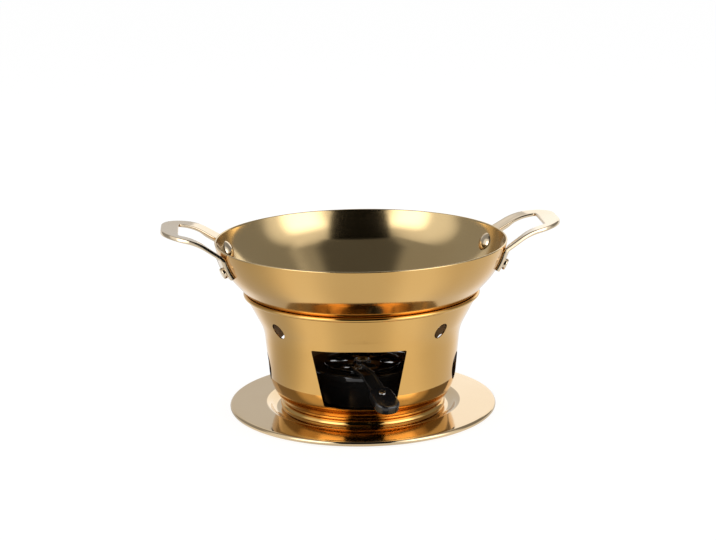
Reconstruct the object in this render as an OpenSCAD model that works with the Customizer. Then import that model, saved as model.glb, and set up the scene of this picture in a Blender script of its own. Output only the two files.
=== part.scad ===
// Chafing dish of the small table-top kind: a round pan with two riveted loop
// handles stands on the rolled mouth of a flared burner stand. A spirit burner
// with a turning damper stands inside, its lever out of the stand's door, and
// the stand's foot drops into the well of a flat round tray.
// The origin is at the middle of the tray's underside, Z points up and the
// stand's door faces minus Y. Sizes are in millimetres and degrees.

/* [Pan] */
// Outside diameter of the pan at its rim
pan_d = 240; // [225:1:255]
// Thickness of the pan's sheet
pan_sheet = 1.5; // [1:0.1:2]
// Height of the pan from its underside to its rim
pan_depth = 72; // [66:1:78]
// Lean of the pan's conical lower wall, from upright
pan_cone_lean = 42; // [40:0.5:44]
// Outside radius of the curve from the conical wall up to the rim
pan_curve_r = 61; // [57:1:65]
// Lean of the pan's wall at the rim, from upright
pan_rim_lean = 10; // [7:0.5:12]
// Outside radius of the curve from the pan's flat base to its conical wall
pan_base_r = 30; // [20:1:40]
// Turn of the pan on its seat, away from the door's square
pan_turn = 7; // [0:0.5:30]

/* [Handles] */
// Thickness of the handle's strap at its legs and its outer edge
strap_t = 3.4; // [2.8:0.1:4.5]
// Thickness of the strap inside its outer edge
strap_thin_t = 2.6; // [2:0.1:3]
// Width of the strap's thick outer edge
edge_w = 2.4; // [1.8:0.1:3]
// Width of each arm of a handle
arm_w = 14.5; // [12:0.5:16]
// Width of the finger opening at the pad
opening_w = 43; // [38:1:48]
// Corner radius of the finger opening
opening_corner_r = 2.5; // [1:0.5:6]
// Angle at the pan's axis between a handle's middle and each leg
leg_spread = 18.5; // [16:0.5:21]
// Place of a leg's lower end, as an angle below the curve's centre
leg_low = 29; // [28.5:0.5:34]
// Place of a leg's upper end, as an angle below the curve's centre
leg_high = 15.3; // [13:0.1:17]
// Radius of the bend where a leg turns out into its arm
arm_bend_r = 5; // [4:0.5:8]
// Rise of the arm above level
arm_rise = 36; // [30:1:42]
// Length of the straight stretch of the arm
arm_run = 12; // [8:0.5:16]
// Radius of the curve that eases the arm into the pad
ease_r = 38; // [30:1:44]
// Rise of the pad above level
pad_rise = 12; // [6:1:18]
// Distance from the pan's rim to the outer end of the pad
handle_reach = 43; // [40:1:50]
// Length of the pad, from the finger opening to the outer end
pad_len = 14; // [10:0.5:18]
// Corner radius of the pad's outer end
pad_corner_r = 30; // [20:1:34]

/* [Handle rivets] */
// Diameter of a rivet's shank
rivet_d = 5; // [4:0.1:6]
// Diameter of the flat outer head
rivet_out_d = 9.5; // [8:0.1:11]
// Height of the flat outer head
rivet_out_h = 2.4; // [1.8:0.1:3.5]
// Diameter of the domed inner head
rivet_in_d = 15.5; // [12:0.1:16.5]
// Height of the domed inner head
rivet_in_h = 3; // [2:0.1:4]
// Place of a rivet, as an angle below the curve's centre
rivet_low = 24; // [22.5:0.5:24.5]

/* [Stand] */
// Thickness of the stand's sheet
stand_sheet = 1; // [0.8:0.1:1.4]
// Height of the mouth bead's centre above the foot's underside
stand_h = 98.5; // [92:0.5:104]
// Diameter of the mouth, at the bead's centre
mouth_d = 192; // [186:1:198]
// Diameter of the rolled bead round the mouth
mouth_bead_d = 3.2; // [2.8:0.1:4.4]
// Outside diameter of the drum where the flare begins
drum_d = 161; // [155:1:167]
// Height above the foot's underside where the flare begins
drum_h = 62; // [58:1:66]
// Upper leg of the flare's bend, as a multiple of its lower leg
flare_legs = 4.2; // [1:0.1:6]
// Lean of the drum's wall from upright
drum_lean = 5.3; // [3:0.1:8]
// Radius of the belly that draws the drum in towards its floor
belly_r = 43; // [38:1:46]
// Lean of the wall where the belly meets the heel
heel_lean = 43; // [38:1:46]
// Radius of the heel between the belly and the floor
heel_r = 2.5; // [1.5:0.1:4]
// Height of the rolled foot ring
foot_h = 6.8; // [6:0.1:8]
// Height of the door's sill above the foot's underside
sill_h = 20; // [17:0.5:23]
// Height of the door, from its sill to its top edge
door_h = 47.5; // [43:0.5:51]
// Width of the door at its sill
door_low_w = 57; // [54:1:64]
// Width of the door at its top edge
door_top_w = 76; // [70:1:82]
// Bow of the door's top and sill
door_bow = 1.5; // [0.5:0.1:2.5]
// Corner radius of the door
door_corner_r = 1.2; // [0.8:0.1:4]
// Diameter of the small vents under the mouth
high_vent_d = 13; // [10:0.5:14]
// Height of the small vents above the foot's underside
high_vent_h = 79; // [76:0.5:82]
// Angle between the door's middle and the nearest small vents
high_vent_angle = 49; // [45:1:60]
// Diameter of the large vents round the drum
low_vent_d = 23; // [18:0.5:26]
// Height of the large vents above the foot's underside
low_vent_h = 38; // [36:0.5:42]
// Number of large vents round the drum
low_vents = 6; // [5:1:8]
// Angle between the door's middle and the nearest large vents
low_vent_angle = 80; // [75:1:90]

/* [Tray] */
// Diameter of the tray
tray_d = 222; // [212:1:236]
// Thickness of the tray's sheet
tray_sheet = 1.2; // [0.8:0.1:1.6]
// Depth of the tray's well
well_depth = 4.8; // [3.5:0.1:6.5]
// Width of the well's rounded wall
well_wall_w = 11.5; // [9:0.5:13]
// Room round the foot on the well's floor
well_room = 2; // [1:0.1:3]
// Diameter of the rolled edge of the tray
tray_edge_d = 4.4; // [3:0.1:4.8]
// Turn of the rolled edge, under from level
tray_edge_turn = 200; // [180:5:240]

/* [Burner] */
// Diameter of the burner's cover over its skirt
cover_d = 90; // [82:1:96]
// Thickness of the burner's sheets
burner_sheet = 1.2; // [0.8:0.1:1.4]
// Depth of the cover's skirt
skirt_h = 5; // [4:0.1:7]
// Height of the burner's cup
cup_h = 28; // [24:0.5:30]
// Draw-in of the cup's wall from its mouth to its base
cup_taper = 5; // [3:0.5:8]
// Height of the wick pad
pad_h = 19; // [15:0.5:20]
// Thickness of the gauze on the wick pad
gauze_t = 0.8; // [0.6:0.1:1.2]
// Spacing of the gauze's wires
gauze_pitch = 6; // [5.5:0.1:8]
// Width of one wire of the gauze
gauze_wire = 1.4; // [1:0.1:2]

/* [Damper] */
// Diameter of the damper plate
damper_d = 64; // [62:1:70]
// Number of flame ports in the cover and in the damper
ports = 6; // [5:1:6]
// Diameter of a flame port
port_d = 9; // [7:0.5:9.5]
// Diameter of the circle of flame ports
port_circle_d = 38; // [36:1:40]
// Turn of the damper from shut to open
damper_travel = 28; // [26:1:30]
// Diameter of the damper's pivot
pivot_d = 6; // [5:0.1:7]
// Diameter of the pivot's heads
pivot_head_d = 11; // [9:0.5:12]
// Height of the pivot's domed head
pivot_head_h = 2; // [1.5:0.1:3]
// Diameter of the washer under the pivot's head
washer_d = 14; // [12.5:0.5:16]
// Thickness of the washer
washer_t = 0.6; // [0.4:0.1:1]

/* [Damper lever] */
// Direction of the lever from the door's middle, damper shut
lever_turn = 24; // [22:0.5:25]
// Distance of the lever's middle line from the damper's axis
lever_side = 14; // [13:0.5:14.5]
// Width of the lever's channel
lever_w = 12; // [11.5:0.5:13]
// Height of the lever's channel
lever_h = 3.5; // [2.5:0.1:4]
// Thickness of the lever's sheet
lever_sheet = 1.2; // [0.8:0.1:1.4]
// Overlap of the lever on the damper plate
lever_lap = 8; // [7:0.5:9]
// Distance past the cover's edge where the lever bends down
lever_level = 2; // [1:0.5:4]
// Lean of the lever below level, outside the cover
lever_lean = 20; // [17:0.5:21]
// Length of the lever inside the grip
lever_in_grip = 15; // [13:0.5:17]
// Diameter of the rivets that hold the lever to the damper
lever_rivet_d = 3; // [2.5:0.1:3.4]
// Spacing of the lever's two rivets
lever_rivet_gap = 4.4; // [4.2:0.1:4.6]
// Width of the grip where it begins
grip_root_w = 18.5; // [17:0.5:19.5]
// Width of the grip at its tip
grip_tip_w = 21; // [19:0.5:22]
// Thickness of the grip
grip_t = 8; // [7.5:0.1:10]
// Distance that the grip reaches out past the drum
grip_out = 13.5; // [9:0.5:18]
// Length of the grip
grip_len = 28; // [25:0.5:30]
// Corner radius of the grip's tip
grip_tip_r = 9; // [6:0.5:9]
// Corner radius of the grip where it begins
grip_root_r = 6; // [3:0.5:7]
// Diameter of the pin through the grip
grip_pin_d = 3; // [2.5:0.1:3.5]
// Distance of the pin from where the grip begins
grip_pin_in = 8; // [6:0.5:10]

/* [Hidden] */
// Clearances: beside fixed pieces, under seated pieces, under the pan's wall,
// round the turning pivot, under turning plates, round the soft pad, in the
// grip's slot and between two rivet heads
part_clear = 0.05;
seat_clear = 0.05;
pan_seat_clear = 0.3;
run_clear = 0.06;
plate_clear = 0.15;
pad_clear = 0.3;
slot_clear = 0.2;
head_gap = 0.5;
// Extra length of what cuts a hole, past each face that it opens
past = 1;
curve_steps = 14;
corner_steps = 6;
far = 400;
$fn = 96;

// Colours of the finishes
gold = "#cfa866";
satin_gold = "#d8b478";
pale_gold = "#dcc095";
black_enamel = "#17171a";
black_moulding = "#202024";
steel = "#b9b9b6";
wool = "#e6e0d2";

// Directions, as turns about Z
door_turn = -90;
right_turn = pan_turn;
left_turn = pan_turn + 180;
lever_az = door_turn + lever_turn;

// Stand: the outer line runs from the floor through heel, belly, drum and flare
drum_r = drum_d / 2;
mouth_r = mouth_d / 2;
foot_z = tray_sheet + seat_clear;
stand_floor_z = foot_z + foot_h;
flare_z = foot_z + drum_h;
mouth_z = foot_z + stand_h;
heel_rise = heel_r * (1 - sin(heel_lean));
belly_rise = belly_r * (sin(heel_lean) - sin(drum_lean));
cone_rise = flare_z - stand_floor_z - heel_rise - belly_rise;
drum_low_r = drum_r - cone_rise * tan(drum_lean);
belly_low_r = drum_low_r - belly_r * (cos(drum_lean) - cos(heel_lean));
stand_floor_r = belly_low_r - heel_r * cos(heel_lean);
flare_chord = [mouth_r - drum_r, mouth_z - flare_z];
flare_aim = atan2(flare_chord.x, flare_chord.y);
mouth_lean = flare_aim + asin(sin(flare_aim - drum_lean) / flare_legs);
flare_leg = norm(flare_chord) * sin(mouth_lean - flare_aim) / sin(mouth_lean - drum_lean);
flare_r = flare_leg / tan((mouth_lean - drum_lean) / 2);
flare_mid = [drum_r + flare_r * cos(drum_lean), flare_z - flare_r * sin(drum_lean)];

// Foot ring: a round section flattened on top and underneath
foot_flat = 0.8;
foot_round_r = (foot_h + foot_flat) / 2;
foot_mid_r = stand_floor_r + foot_flat / 4;
foot_out_r = foot_mid_r + foot_round_r;

// Tray
well_floor_r = foot_out_r + well_room;
brim_z = tray_sheet + well_depth;
well_lean = 90 - 2 * atan2(well_depth, well_wall_w);
well_curve_r = well_depth / (2 * (1 - sin(well_lean)));

// Pan: its conical wall rests on the bead of the stand's mouth, or on a flare that leans more than the wall
pan_curve_x = pan_d / 2 - pan_curve_r * cos(pan_rim_lean);
bead_seat_r = pan_curve_r + mouth_bead_d / 2 + pan_seat_clear;
bead_seat_rise = (bead_seat_r - (mouth_r - pan_curve_x) * cos(pan_cone_lean)) / sin(pan_cone_lean);
bead_seat_z = mouth_z + bead_seat_rise;
flare_seat_r = pan_curve_r + flare_r + stand_sheet + pan_seat_clear;
flare_seat_rise = (flare_seat_r - (flare_mid.x - pan_curve_x) * cos(pan_cone_lean)) / sin(pan_cone_lean);
flare_seat_z = flare_mid.y + flare_seat_rise;
pan_curve_z = mouth_lean > pan_cone_lean ? max(bead_seat_z, flare_seat_z) : bead_seat_z;
pan_bottom_z = pan_curve_z - pan_curve_r * sin(pan_rim_lean) - pan_depth;
pan_cone_r = pan_curve_x + pan_curve_r * cos(pan_cone_lean);
pan_cone_z = pan_curve_z - pan_curve_r * sin(pan_cone_lean);
pan_base_top_z = pan_bottom_z + pan_base_r * (1 - sin(pan_cone_lean));
pan_base_top_r = pan_cone_r - (pan_cone_z - pan_base_top_z) * tan(pan_cone_lean);
pan_flat_r = pan_base_top_r - pan_base_r * cos(pan_cone_lean);

// Handle strap: its middle line, from the leg's lower end to the pad's tip
strap_mid_r = pan_curve_r + part_clear + strap_t / 2;
arm_lean = 90 - arm_rise;
pad_lean = 90 - pad_rise;
leg_start = [pan_curve_x + strap_mid_r * cos(leg_low), pan_curve_z - strap_mid_r * sin(leg_low)];
handle_tip_r = pan_d / 2 + handle_reach;
pad_in_r = handle_tip_r - pad_len;
strap_half_arc = 2 * leg_spread;

// Handle rivets
rivet_r = pan_curve_x + pan_curve_r * cos(rivet_low);
rivet_z = pan_curve_z - pan_curve_r * sin(rivet_low);
rivet_in_r = rivet_in_d / 2;
rivet_in_lift = pan_sheet + 2 * part_clear + rivet_in_r ^ 2 / (2 * (pan_curve_r - pan_sheet));
rivet_out_lift = strap_t + 2 * part_clear;

// Handle from above, its middle along X: the arms run straight from leg to pad
leg_x = rivet_r * cos(leg_spread);
leg_y = rivet_r * sin(leg_spread);
arm_y = (opening_w + arm_w) / 2;
arm_slope = (leg_y - arm_y) / (pad_in_r - leg_x);
root_x = leg_x - 2 * arm_w;
root_y = arm_y + arm_slope * (pad_in_r - root_x);
tip_y = arm_y - arm_slope * pad_len;

// Burner heights, upwards from the stand's floor
cup_z = stand_floor_z + stand_sheet + seat_clear;
cup_top_z = cup_z + cup_h;
cover_z = cup_top_z + part_clear;
cover_top_z = cover_z + burner_sheet;
damper_z = cover_top_z + plate_clear;
damper_top_z = damper_z + burner_sheet;
washer_z = damper_top_z + plate_clear;
pivot_head_z = washer_z + washer_t + part_clear;
pad_z = cup_z + burner_sheet + pad_clear;
gauze_z = pad_z + pad_h + part_clear;
cover_r = cover_d / 2;
skirt_in_r = cover_r - burner_sheet;
cup_r = skirt_in_r - plate_clear;
cup_low_r = cup_r - cup_taper;

// Lever: beside the axis, level over the damper and the cover's edge, then down
// to the grip. Along it, X is counted from the point nearest to the axis.
lever_z = damper_top_z + part_clear;
lever_in_side = lever_side - lever_w / 2;
damper_edge_x = sqrt((damper_d / 2) ^ 2 - lever_side ^ 2);
lever_root_x = damper_edge_x - lever_lap;
lever_rivet_x = damper_edge_x - lever_lap / 2;
lever_bend_x = sqrt((cover_r + lever_level) ^ 2 - lever_in_side ^ 2);
lever_reach_x = sqrt((drum_r + grip_out) ^ 2 - lever_side ^ 2);
grip_end_x = (lever_reach_x - lever_bend_x) / cos(lever_lean);
grip_start_x = grip_end_x - grip_len;
lever_end_x = grip_start_x + lever_in_grip;
grip_pin_x = grip_start_x + grip_pin_in;
lever_tip_x = lever_bend_x + lever_end_x * cos(lever_lean);
lever_tip_z = lever_z - lever_end_x * sin(lever_lean);
lever_path = [[lever_root_x, lever_z], [lever_bend_x, lever_z], [lever_tip_x, lever_tip_z]];

// Flame ports: the lever's foot lies between two of the damper's
port_step = 360 / ports;
lever_foot_az = lever_az - atan2(lever_side, lever_rivet_x);
damper_port_az = lever_foot_az + port_step / 2;
cover_port_az = damper_port_az - damper_travel;

// A line that bends is a list of [radius, height, lean from upright]. This one
// starts at p and turns from lean a0 to lean a1 on radius r, going upwards.
function bend(p, a0, a1, r) = let (s = a1 > a0 ? 1 : -1) [
    for (i = [0:curve_steps]) let (a = a0 + (a1 - a0) * i / curve_steps)
        [p.x + s * r * (cos(a0) - cos(a)), p.y + s * r * (sin(a) - sin(a0)), a]
];
// The end of a line, and a point that goes on straight from it
function end_of(line) = line[len(line) - 1];
function ahead(q, d) = [q.x + d * sin(q.z), q.y + d * cos(q.z), q.z];
// The line moved by d to its outer side
function beside(line, d) = [for (q = line) [q.x + d * cos(q.z), q.y - d * sin(q.z)]];
function backwards(points) = [for (i = [len(points) - 1:-1:0]) points[i]];
// The closed section of a sheet whose faces lie d0 and d1 beside the line
function sheet_of(line, d0, d1) = concat(beside(line, d0), backwards(beside(line, d1)));

// A polygon with each corner rounded to its own radius
function unit(v) = v / norm(v);
function round_corner(p, q, s, r) = let (
    u = unit(p - q),
    v = unit(s - q),
    half = acos(u * v) / 2,
    c = q + unit(u + v) * r / sin(half),
    a0 = atan2((q + u * r / tan(half) - c).y, (q + u * r / tan(half) - c).x),
    a1 = atan2((q + v * r / tan(half) - c).y, (q + v * r / tan(half) - c).x),
    turn = ((a1 - a0 + 540) % 360) - 180
) [for (i = [0:corner_steps]) c + r * [cos(a0 + turn * i / corner_steps), sin(a0 + turn * i / corner_steps)]];
function rounded(points, radii) = let (n = len(points)) [
    for (i = [0:n - 1]) each round_corner(points[(i + n - 1) % n], points[i], points[(i + 1) % n], radii[i])
];

// The middle line of a handle's strap: up the leg, round the elbow, then out
// along the arm and past the pad's tip
function strap_leg() = bend(leg_start, leg_low, leg_high, strap_mid_r);
function strap_elbow() = bend(end_of(strap_leg()), leg_high, arm_lean, arm_bend_r);
function strap_arm() = let (
    elbow_end = end_of(strap_elbow()),
    ease = bend(ahead(elbow_end, arm_run), arm_lean, pad_lean, ease_r)
) concat([elbow_end], ease, [ahead(end_of(ease), handle_reach)]);
function strap_line() = concat(strap_leg(), strap_elbow(), strap_arm());

// Places what is drawn along X at a turn about the axis
module turned(a) {
    rotate([0, 0, a]) children();
}

// A hole drilled level and outwards through a wall at a turn and a height
module wall_hole(a, z, d) {
    turned(a) translate([drum_r / 2, 0, z]) rotate([0, 90, 0]) cylinder(d = d, h = drum_r);
}

// Places a handle rivet: its Z points out through the pan's wall
module at_rivet(a) {
    turned(a) translate([rivet_r, 0, rivet_z]) rotate([0, 90 + rivet_low, 0]) children();
}

// A dome of diameter d and height h that stands on Z = 0
module dome(d, h) {
    ball_r = ((d / 2) ^ 2 + h ^ 2) / (2 * h);
    intersection() {
        translate([0, 0, h - ball_r]) sphere(r = ball_r);
        cylinder(d = d, h = h);
    }
}

// Evenly spaced flame ports through a plate
module port_holes(a, z) {
    for (i = [0:ports - 1])
        turned(a + i * port_step) translate([port_circle_d / 2, 0, z - past])
            cylinder(d = port_d, h = burner_sheet + 2 * past);
}

module tray() {
    step_up = bend([well_floor_r, tray_sheet], 90, well_lean, well_curve_r);
    step_out = bend(end_of(step_up), well_lean, 90, well_curve_r);
    edge_r = tray_edge_d / 2;
    edge = bend([tray_d / 2 - edge_r, brim_z], 90, 90 + tray_edge_turn, edge_r);
    line = concat([[0, tray_sheet, 90]], step_up, step_out, edge);
    color(gold) rotate_extrude() polygon(sheet_of(line, 0, tray_sheet));
}

module stand_foot_ring() {
    color(gold) rotate_extrude() intersection() {
        translate([foot_mid_r, foot_z + foot_h / 2]) circle(r = foot_round_r);
        translate([0, foot_z]) square([far, foot_h]);
    }
}

module stand_wall() {
    heel = bend([stand_floor_r, stand_floor_z], 90, heel_lean, heel_r);
    belly = bend(end_of(heel), heel_lean, drum_lean, belly_r);
    flare = bend([drum_r, flare_z], drum_lean, mouth_lean, flare_r);
    mouth = [[mouth_r, mouth_z, mouth_lean]];
    line = concat([[0, stand_floor_z, 90]], heel, belly, flare, mouth);
    rotate_extrude() {
        polygon(sheet_of(line, 0, -stand_sheet));
        translate([mouth_r, mouth_z]) circle(d = mouth_bead_d);
    }
}

module door_opening() {
    low = door_low_w / 2;
    top = door_top_w / 2;
    bow_r = door_low_w * 2;
    sill_z = foot_z + sill_h;
    head_z = sill_z + door_h;
    corners = [
        [-low, sill_z], [0, sill_z - door_bow], [low, sill_z],
        [top, head_z], [0, head_z + door_bow], [-top, head_z]
    ];
    radii = [door_corner_r, bow_r, door_corner_r, door_corner_r, bow_r, door_corner_r];
    translate([0, -drum_r / 2, 0]) rotate([90, 0, 0]) linear_extrude(drum_r) polygon(rounded(corners, radii));
}

module stand_shell() {
    low_vent_step = (360 - 2 * low_vent_angle) / (low_vents - 1);
    color(gold) difference() {
        stand_wall();
        door_opening();
        for (a = [high_vent_angle, 180 - high_vent_angle], side = [-1, 1])
            wall_hole(door_turn + side * a, foot_z + high_vent_h, high_vent_d);
        for (i = [0:low_vents - 1])
            wall_hole(door_turn + low_vent_angle + i * low_vent_step, foot_z + low_vent_h, low_vent_d);
    }
}

module pan_bowl() {
    base = bend([pan_flat_r, pan_bottom_z], 90, pan_cone_lean, pan_base_r);
    curve = bend([pan_cone_r, pan_cone_z], pan_cone_lean, pan_rim_lean, pan_curve_r);
    line = concat([[0, pan_bottom_z, 90]], base, curve);
    rim_mid = beside([end_of(curve)], -pan_sheet / 2)[0];
    color(satin_gold) difference() {
        rotate_extrude() {
            polygon(sheet_of(line, 0, -pan_sheet));
            translate(rim_mid) circle(d = pan_sheet);
        }
        for (a = [right_turn, left_turn], side = [-1, 1])
            at_rivet(a + side * leg_spread) rivet_hole();
    }
}

module rivet_hole() {
    hole_low = pan_sheet + 2 * past;
    hole_high = rivet_out_lift + 2 * past;
    translate([0, 0, -hole_low]) cylinder(d = rivet_d + 2 * part_clear, h = hole_low + hole_high);
}

// The outline of a handle from above, drawn in by d all round
module handle_outline(d) {
    side_y = arm_w / 2 - d;
    end_x = handle_tip_r - d;
    polygon(rounded(
        [[root_x, -root_y - side_y], [end_x, -tip_y - side_y],
         [end_x, tip_y + side_y], [root_x, root_y + side_y]],
        [past, pad_corner_r - d, pad_corner_r - d, past]));
}

// The finger opening from above, open towards the pan
module finger_opening() {
    side_y = arm_w / 2;
    polygon(rounded(
        [[root_x - past, -root_y + side_y], [pad_in_r, -arm_y + side_y],
         [pad_in_r, arm_y - side_y], [root_x - past, root_y - side_y]],
        [past, opening_corner_r, opening_corner_r, past]));
}

// A stretch of strap turned about the axis, its faces d0 and d1 beside the line
module strap_turned(line, d0, d1) {
    turned(-strap_half_arc) rotate_extrude(angle = 2 * strap_half_arc) polygon(sheet_of(line, d0, d1));
}

// One handle, hollowed under its arms and its pad
module handle(a) {
    hollow_low = strap_thin_t - strap_t / 2;
    color(pale_gold) difference() {
        turned(a) difference() {
            intersection() {
                strap_turned(strap_line(), strap_t / 2, -strap_t / 2);
                translate([0, 0, pan_bottom_z]) linear_extrude(far) difference() {
                    handle_outline(0);
                    finger_opening();
                }
            }
            intersection() {
                strap_turned(strap_arm(), strap_t, hollow_low);
                translate([0, 0, pan_bottom_z]) linear_extrude(far) handle_outline(edge_w);
            }
        }
        for (side = [-1, 1]) at_rivet(a + side * leg_spread) rivet_hole();
    }
}

module handle_rivet(a) {
    chamfer = rivet_out_h / 4;
    color(pale_gold) at_rivet(a) {
        translate([0, 0, -rivet_in_lift]) mirror([0, 0, 1]) dome(rivet_in_d, rivet_in_h);
        translate([0, 0, -rivet_in_lift]) cylinder(d = rivet_d, h = rivet_in_lift + rivet_out_lift + chamfer);
        translate([0, 0, rivet_out_lift]) cylinder(d = rivet_out_d, h = rivet_out_h - chamfer);
        translate([0, 0, rivet_out_lift + rivet_out_h - chamfer])
            cylinder(d1 = rivet_out_d, d2 = rivet_out_d - 2 * chamfer, h = chamfer);
    }
}

module right_handle() { handle(right_turn); }
module left_handle() { handle(left_turn); }
module right_front_rivet() { handle_rivet(right_turn - leg_spread); }
module right_rear_rivet() { handle_rivet(right_turn + leg_spread); }
module left_front_rivet() { handle_rivet(left_turn + leg_spread); }
module left_rear_rivet() { handle_rivet(left_turn - leg_spread); }

module burner_cup() {
    color(black_enamel) difference() {
        translate([0, 0, cup_z]) cylinder(r1 = cup_low_r, r2 = cup_r, h = cup_h);
        translate([0, 0, cup_z + burner_sheet])
            cylinder(r1 = cup_low_r - burner_sheet, r2 = cup_r - burner_sheet, h = cup_h);
    }
}

// Radius of the space inside the cup at a height
function cup_room(z) = cup_low_r - burner_sheet + cup_taper * (z - cup_z - burner_sheet) / cup_h - pad_clear;

module wick_pad() {
    color(wool) translate([0, 0, pad_z])
        cylinder(r1 = cup_room(pad_z), r2 = cup_room(pad_z + pad_h), h = pad_h);
}

module wick_gauze() {
    gauze_r = cup_room(gauze_z);
    edge_r = gauze_r - gauze_wire;
    mesh = gauze_pitch - gauze_wire;
    n = floor(edge_r / gauze_pitch);
    color(steel) translate([0, 0, gauze_z]) linear_extrude(gauze_t) difference() {
        circle(r = gauze_r);
        for (i = [-n:n], j = [-n:n]) {
            corner = [abs(i) * gauze_pitch + mesh / 2, abs(j) * gauze_pitch + mesh / 2];
            if (norm(corner) < edge_r)
                translate([i * gauze_pitch, j * gauze_pitch]) square(mesh, center = true);
        }
    }
}

module burner_cover() {
    color(black_enamel) difference() {
        translate([0, 0, cover_top_z - skirt_h]) cylinder(r = cover_r, h = skirt_h);
        translate([0, 0, cover_top_z - skirt_h - past])
            cylinder(r = skirt_in_r, h = skirt_h + past - burner_sheet);
        port_holes(cover_port_az, cover_z);
        translate([0, 0, cover_z - past]) cylinder(d = pivot_d + 2 * part_clear, h = burner_sheet + 2 * past);
    }
}

// Places what belongs to the lever: X runs along it
module at_lever() {
    turned(lever_az) translate([0, -lever_side, 0]) children();
}

module lever_rivet_places() {
    for (side = [-1, 1])
        at_lever() translate([lever_rivet_x, side * lever_rivet_gap / 2, 0]) children();
}

module damper_plate() {
    color(black_enamel) difference() {
        translate([0, 0, damper_z]) cylinder(d = damper_d, h = burner_sheet);
        port_holes(damper_port_az, damper_z);
        translate([0, 0, damper_z - past]) cylinder(d = pivot_d + 2 * run_clear, h = burner_sheet + 2 * past);
        lever_rivet_places() translate([0, 0, damper_z - past])
            cylinder(d = lever_rivet_d + 2 * part_clear, h = burner_sheet + 2 * past);
    }
}

module damper_washer() {
    color(steel) difference() {
        translate([0, 0, washer_z]) cylinder(d = washer_d, h = washer_t);
        translate([0, 0, washer_z - past]) cylinder(d = pivot_d + 2 * part_clear, h = washer_t + 2 * past);
    }
}

module damper_pivot() {
    under_z = cover_z - part_clear;
    color(steel) {
        translate([0, 0, under_z - burner_sheet]) cylinder(d = pivot_head_d, h = burner_sheet);
        translate([0, 0, under_z - burner_sheet])
            cylinder(d = pivot_d, h = pivot_head_z - under_z + burner_sheet);
        translate([0, 0, pivot_head_z]) dome(pivot_head_d, pivot_head_h);
    }
}

// A solid of the lever's width w that stands on its path, from z0 to z1 above it
module along_lever(w, z0, z1) {
    low = [for (q = lever_path) q + [0, z0]];
    high = [for (q = lever_path) q + [0, z1]];
    at_lever() translate([0, w / 2, 0]) rotate([90, 0, 0])
        linear_extrude(w) polygon(concat(low, backwards(high)));
}

// Places what belongs to the grip: X runs down the sloping lever
module on_grip() {
    at_lever() translate([lever_bend_x, 0, lever_z]) rotate([0, lever_lean, 0]) children();
}

module damper_lever() {
    color(black_enamel) difference() {
        along_lever(lever_w, 0, lever_h);
        along_lever(lever_w - 2 * lever_sheet, lever_sheet, far);
        lever_rivet_places() translate([0, 0, lever_z - past])
            cylinder(d = lever_rivet_d + 2 * part_clear, h = lever_sheet + 2 * past);
        on_grip() translate([grip_pin_x, 0, -grip_t])
            cylinder(d = grip_pin_d + 2 * part_clear, h = 2 * grip_t);
    }
}

module lever_rivets() {
    head_z = lever_z + lever_sheet + part_clear;
    color(steel) lever_rivet_places() {
        translate([0, 0, damper_z]) cylinder(d = lever_rivet_d, h = head_z - damper_z);
        translate([0, 0, head_z]) dome(lever_rivet_gap - head_gap, lever_rivet_d / 2);
    }
}

// The grip lies round the lever's end, in a blind slot
module lever_grip() {
    slot_x = lever_in_grip + slot_clear + past;
    middle_z = lever_h / 2;
    outline = [
        [grip_start_x, -grip_root_w / 2], [grip_end_x, -grip_tip_w / 2],
        [grip_end_x, grip_tip_w / 2], [grip_start_x, grip_root_w / 2]
    ];
    color(black_moulding) on_grip() difference() {
        translate([0, 0, middle_z - grip_t / 2]) linear_extrude(grip_t)
            polygon(rounded(outline, [grip_root_r, grip_tip_r, grip_tip_r, grip_root_r]));
        translate([grip_start_x - past, -lever_w / 2 - slot_clear, -slot_clear])
            cube([slot_x, lever_w + 2 * slot_clear, lever_h + 2 * slot_clear]);
        translate([grip_pin_x, 0, -grip_t]) cylinder(d = grip_pin_d + 2 * part_clear, h = 3 * grip_t);
    }
}

module grip_pin() {
    middle_z = lever_h / 2;
    color(steel) on_grip() translate([grip_pin_x, 0, middle_z - grip_t / 2]) {
        cylinder(d = grip_pin_d, h = grip_t + part_clear);
        translate([0, 0, grip_t + part_clear]) dome(2 * grip_pin_d, grip_pin_d / 3);
    }
}

tray();
stand_foot_ring();
stand_shell();
pan_bowl();
right_handle();
left_handle();
right_front_rivet();
right_rear_rivet();
left_front_rivet();
left_rear_rivet();
burner_cup();
wick_pad();
wick_gauze();
burner_cover();
damper_plate();
damper_washer();
damper_pivot();
damper_lever();
lever_rivets();
lever_grip();
grip_pin();
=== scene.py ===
"""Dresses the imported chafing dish: smooth metal pieces, their finishes, the camera and the studio."""

import logging
import math
from collections.abc import Sequence
from dataclasses import dataclass
from enum import Enum

import bmesh
import bpy
from mathutils import Matrix, Vector, noise


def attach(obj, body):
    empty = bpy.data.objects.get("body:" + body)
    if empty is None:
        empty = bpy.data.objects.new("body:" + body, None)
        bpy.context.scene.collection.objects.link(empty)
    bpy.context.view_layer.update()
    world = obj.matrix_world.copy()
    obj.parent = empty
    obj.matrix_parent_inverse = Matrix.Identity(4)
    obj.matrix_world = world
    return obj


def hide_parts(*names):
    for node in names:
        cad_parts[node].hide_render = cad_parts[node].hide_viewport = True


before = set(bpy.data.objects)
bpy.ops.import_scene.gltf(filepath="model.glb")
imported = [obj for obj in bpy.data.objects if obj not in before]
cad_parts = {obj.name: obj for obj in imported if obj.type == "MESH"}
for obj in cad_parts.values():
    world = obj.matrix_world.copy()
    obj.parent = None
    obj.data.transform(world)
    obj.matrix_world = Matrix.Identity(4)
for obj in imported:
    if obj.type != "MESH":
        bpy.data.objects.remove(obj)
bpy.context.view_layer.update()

log = logging.getLogger("chafing_dish")

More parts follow.
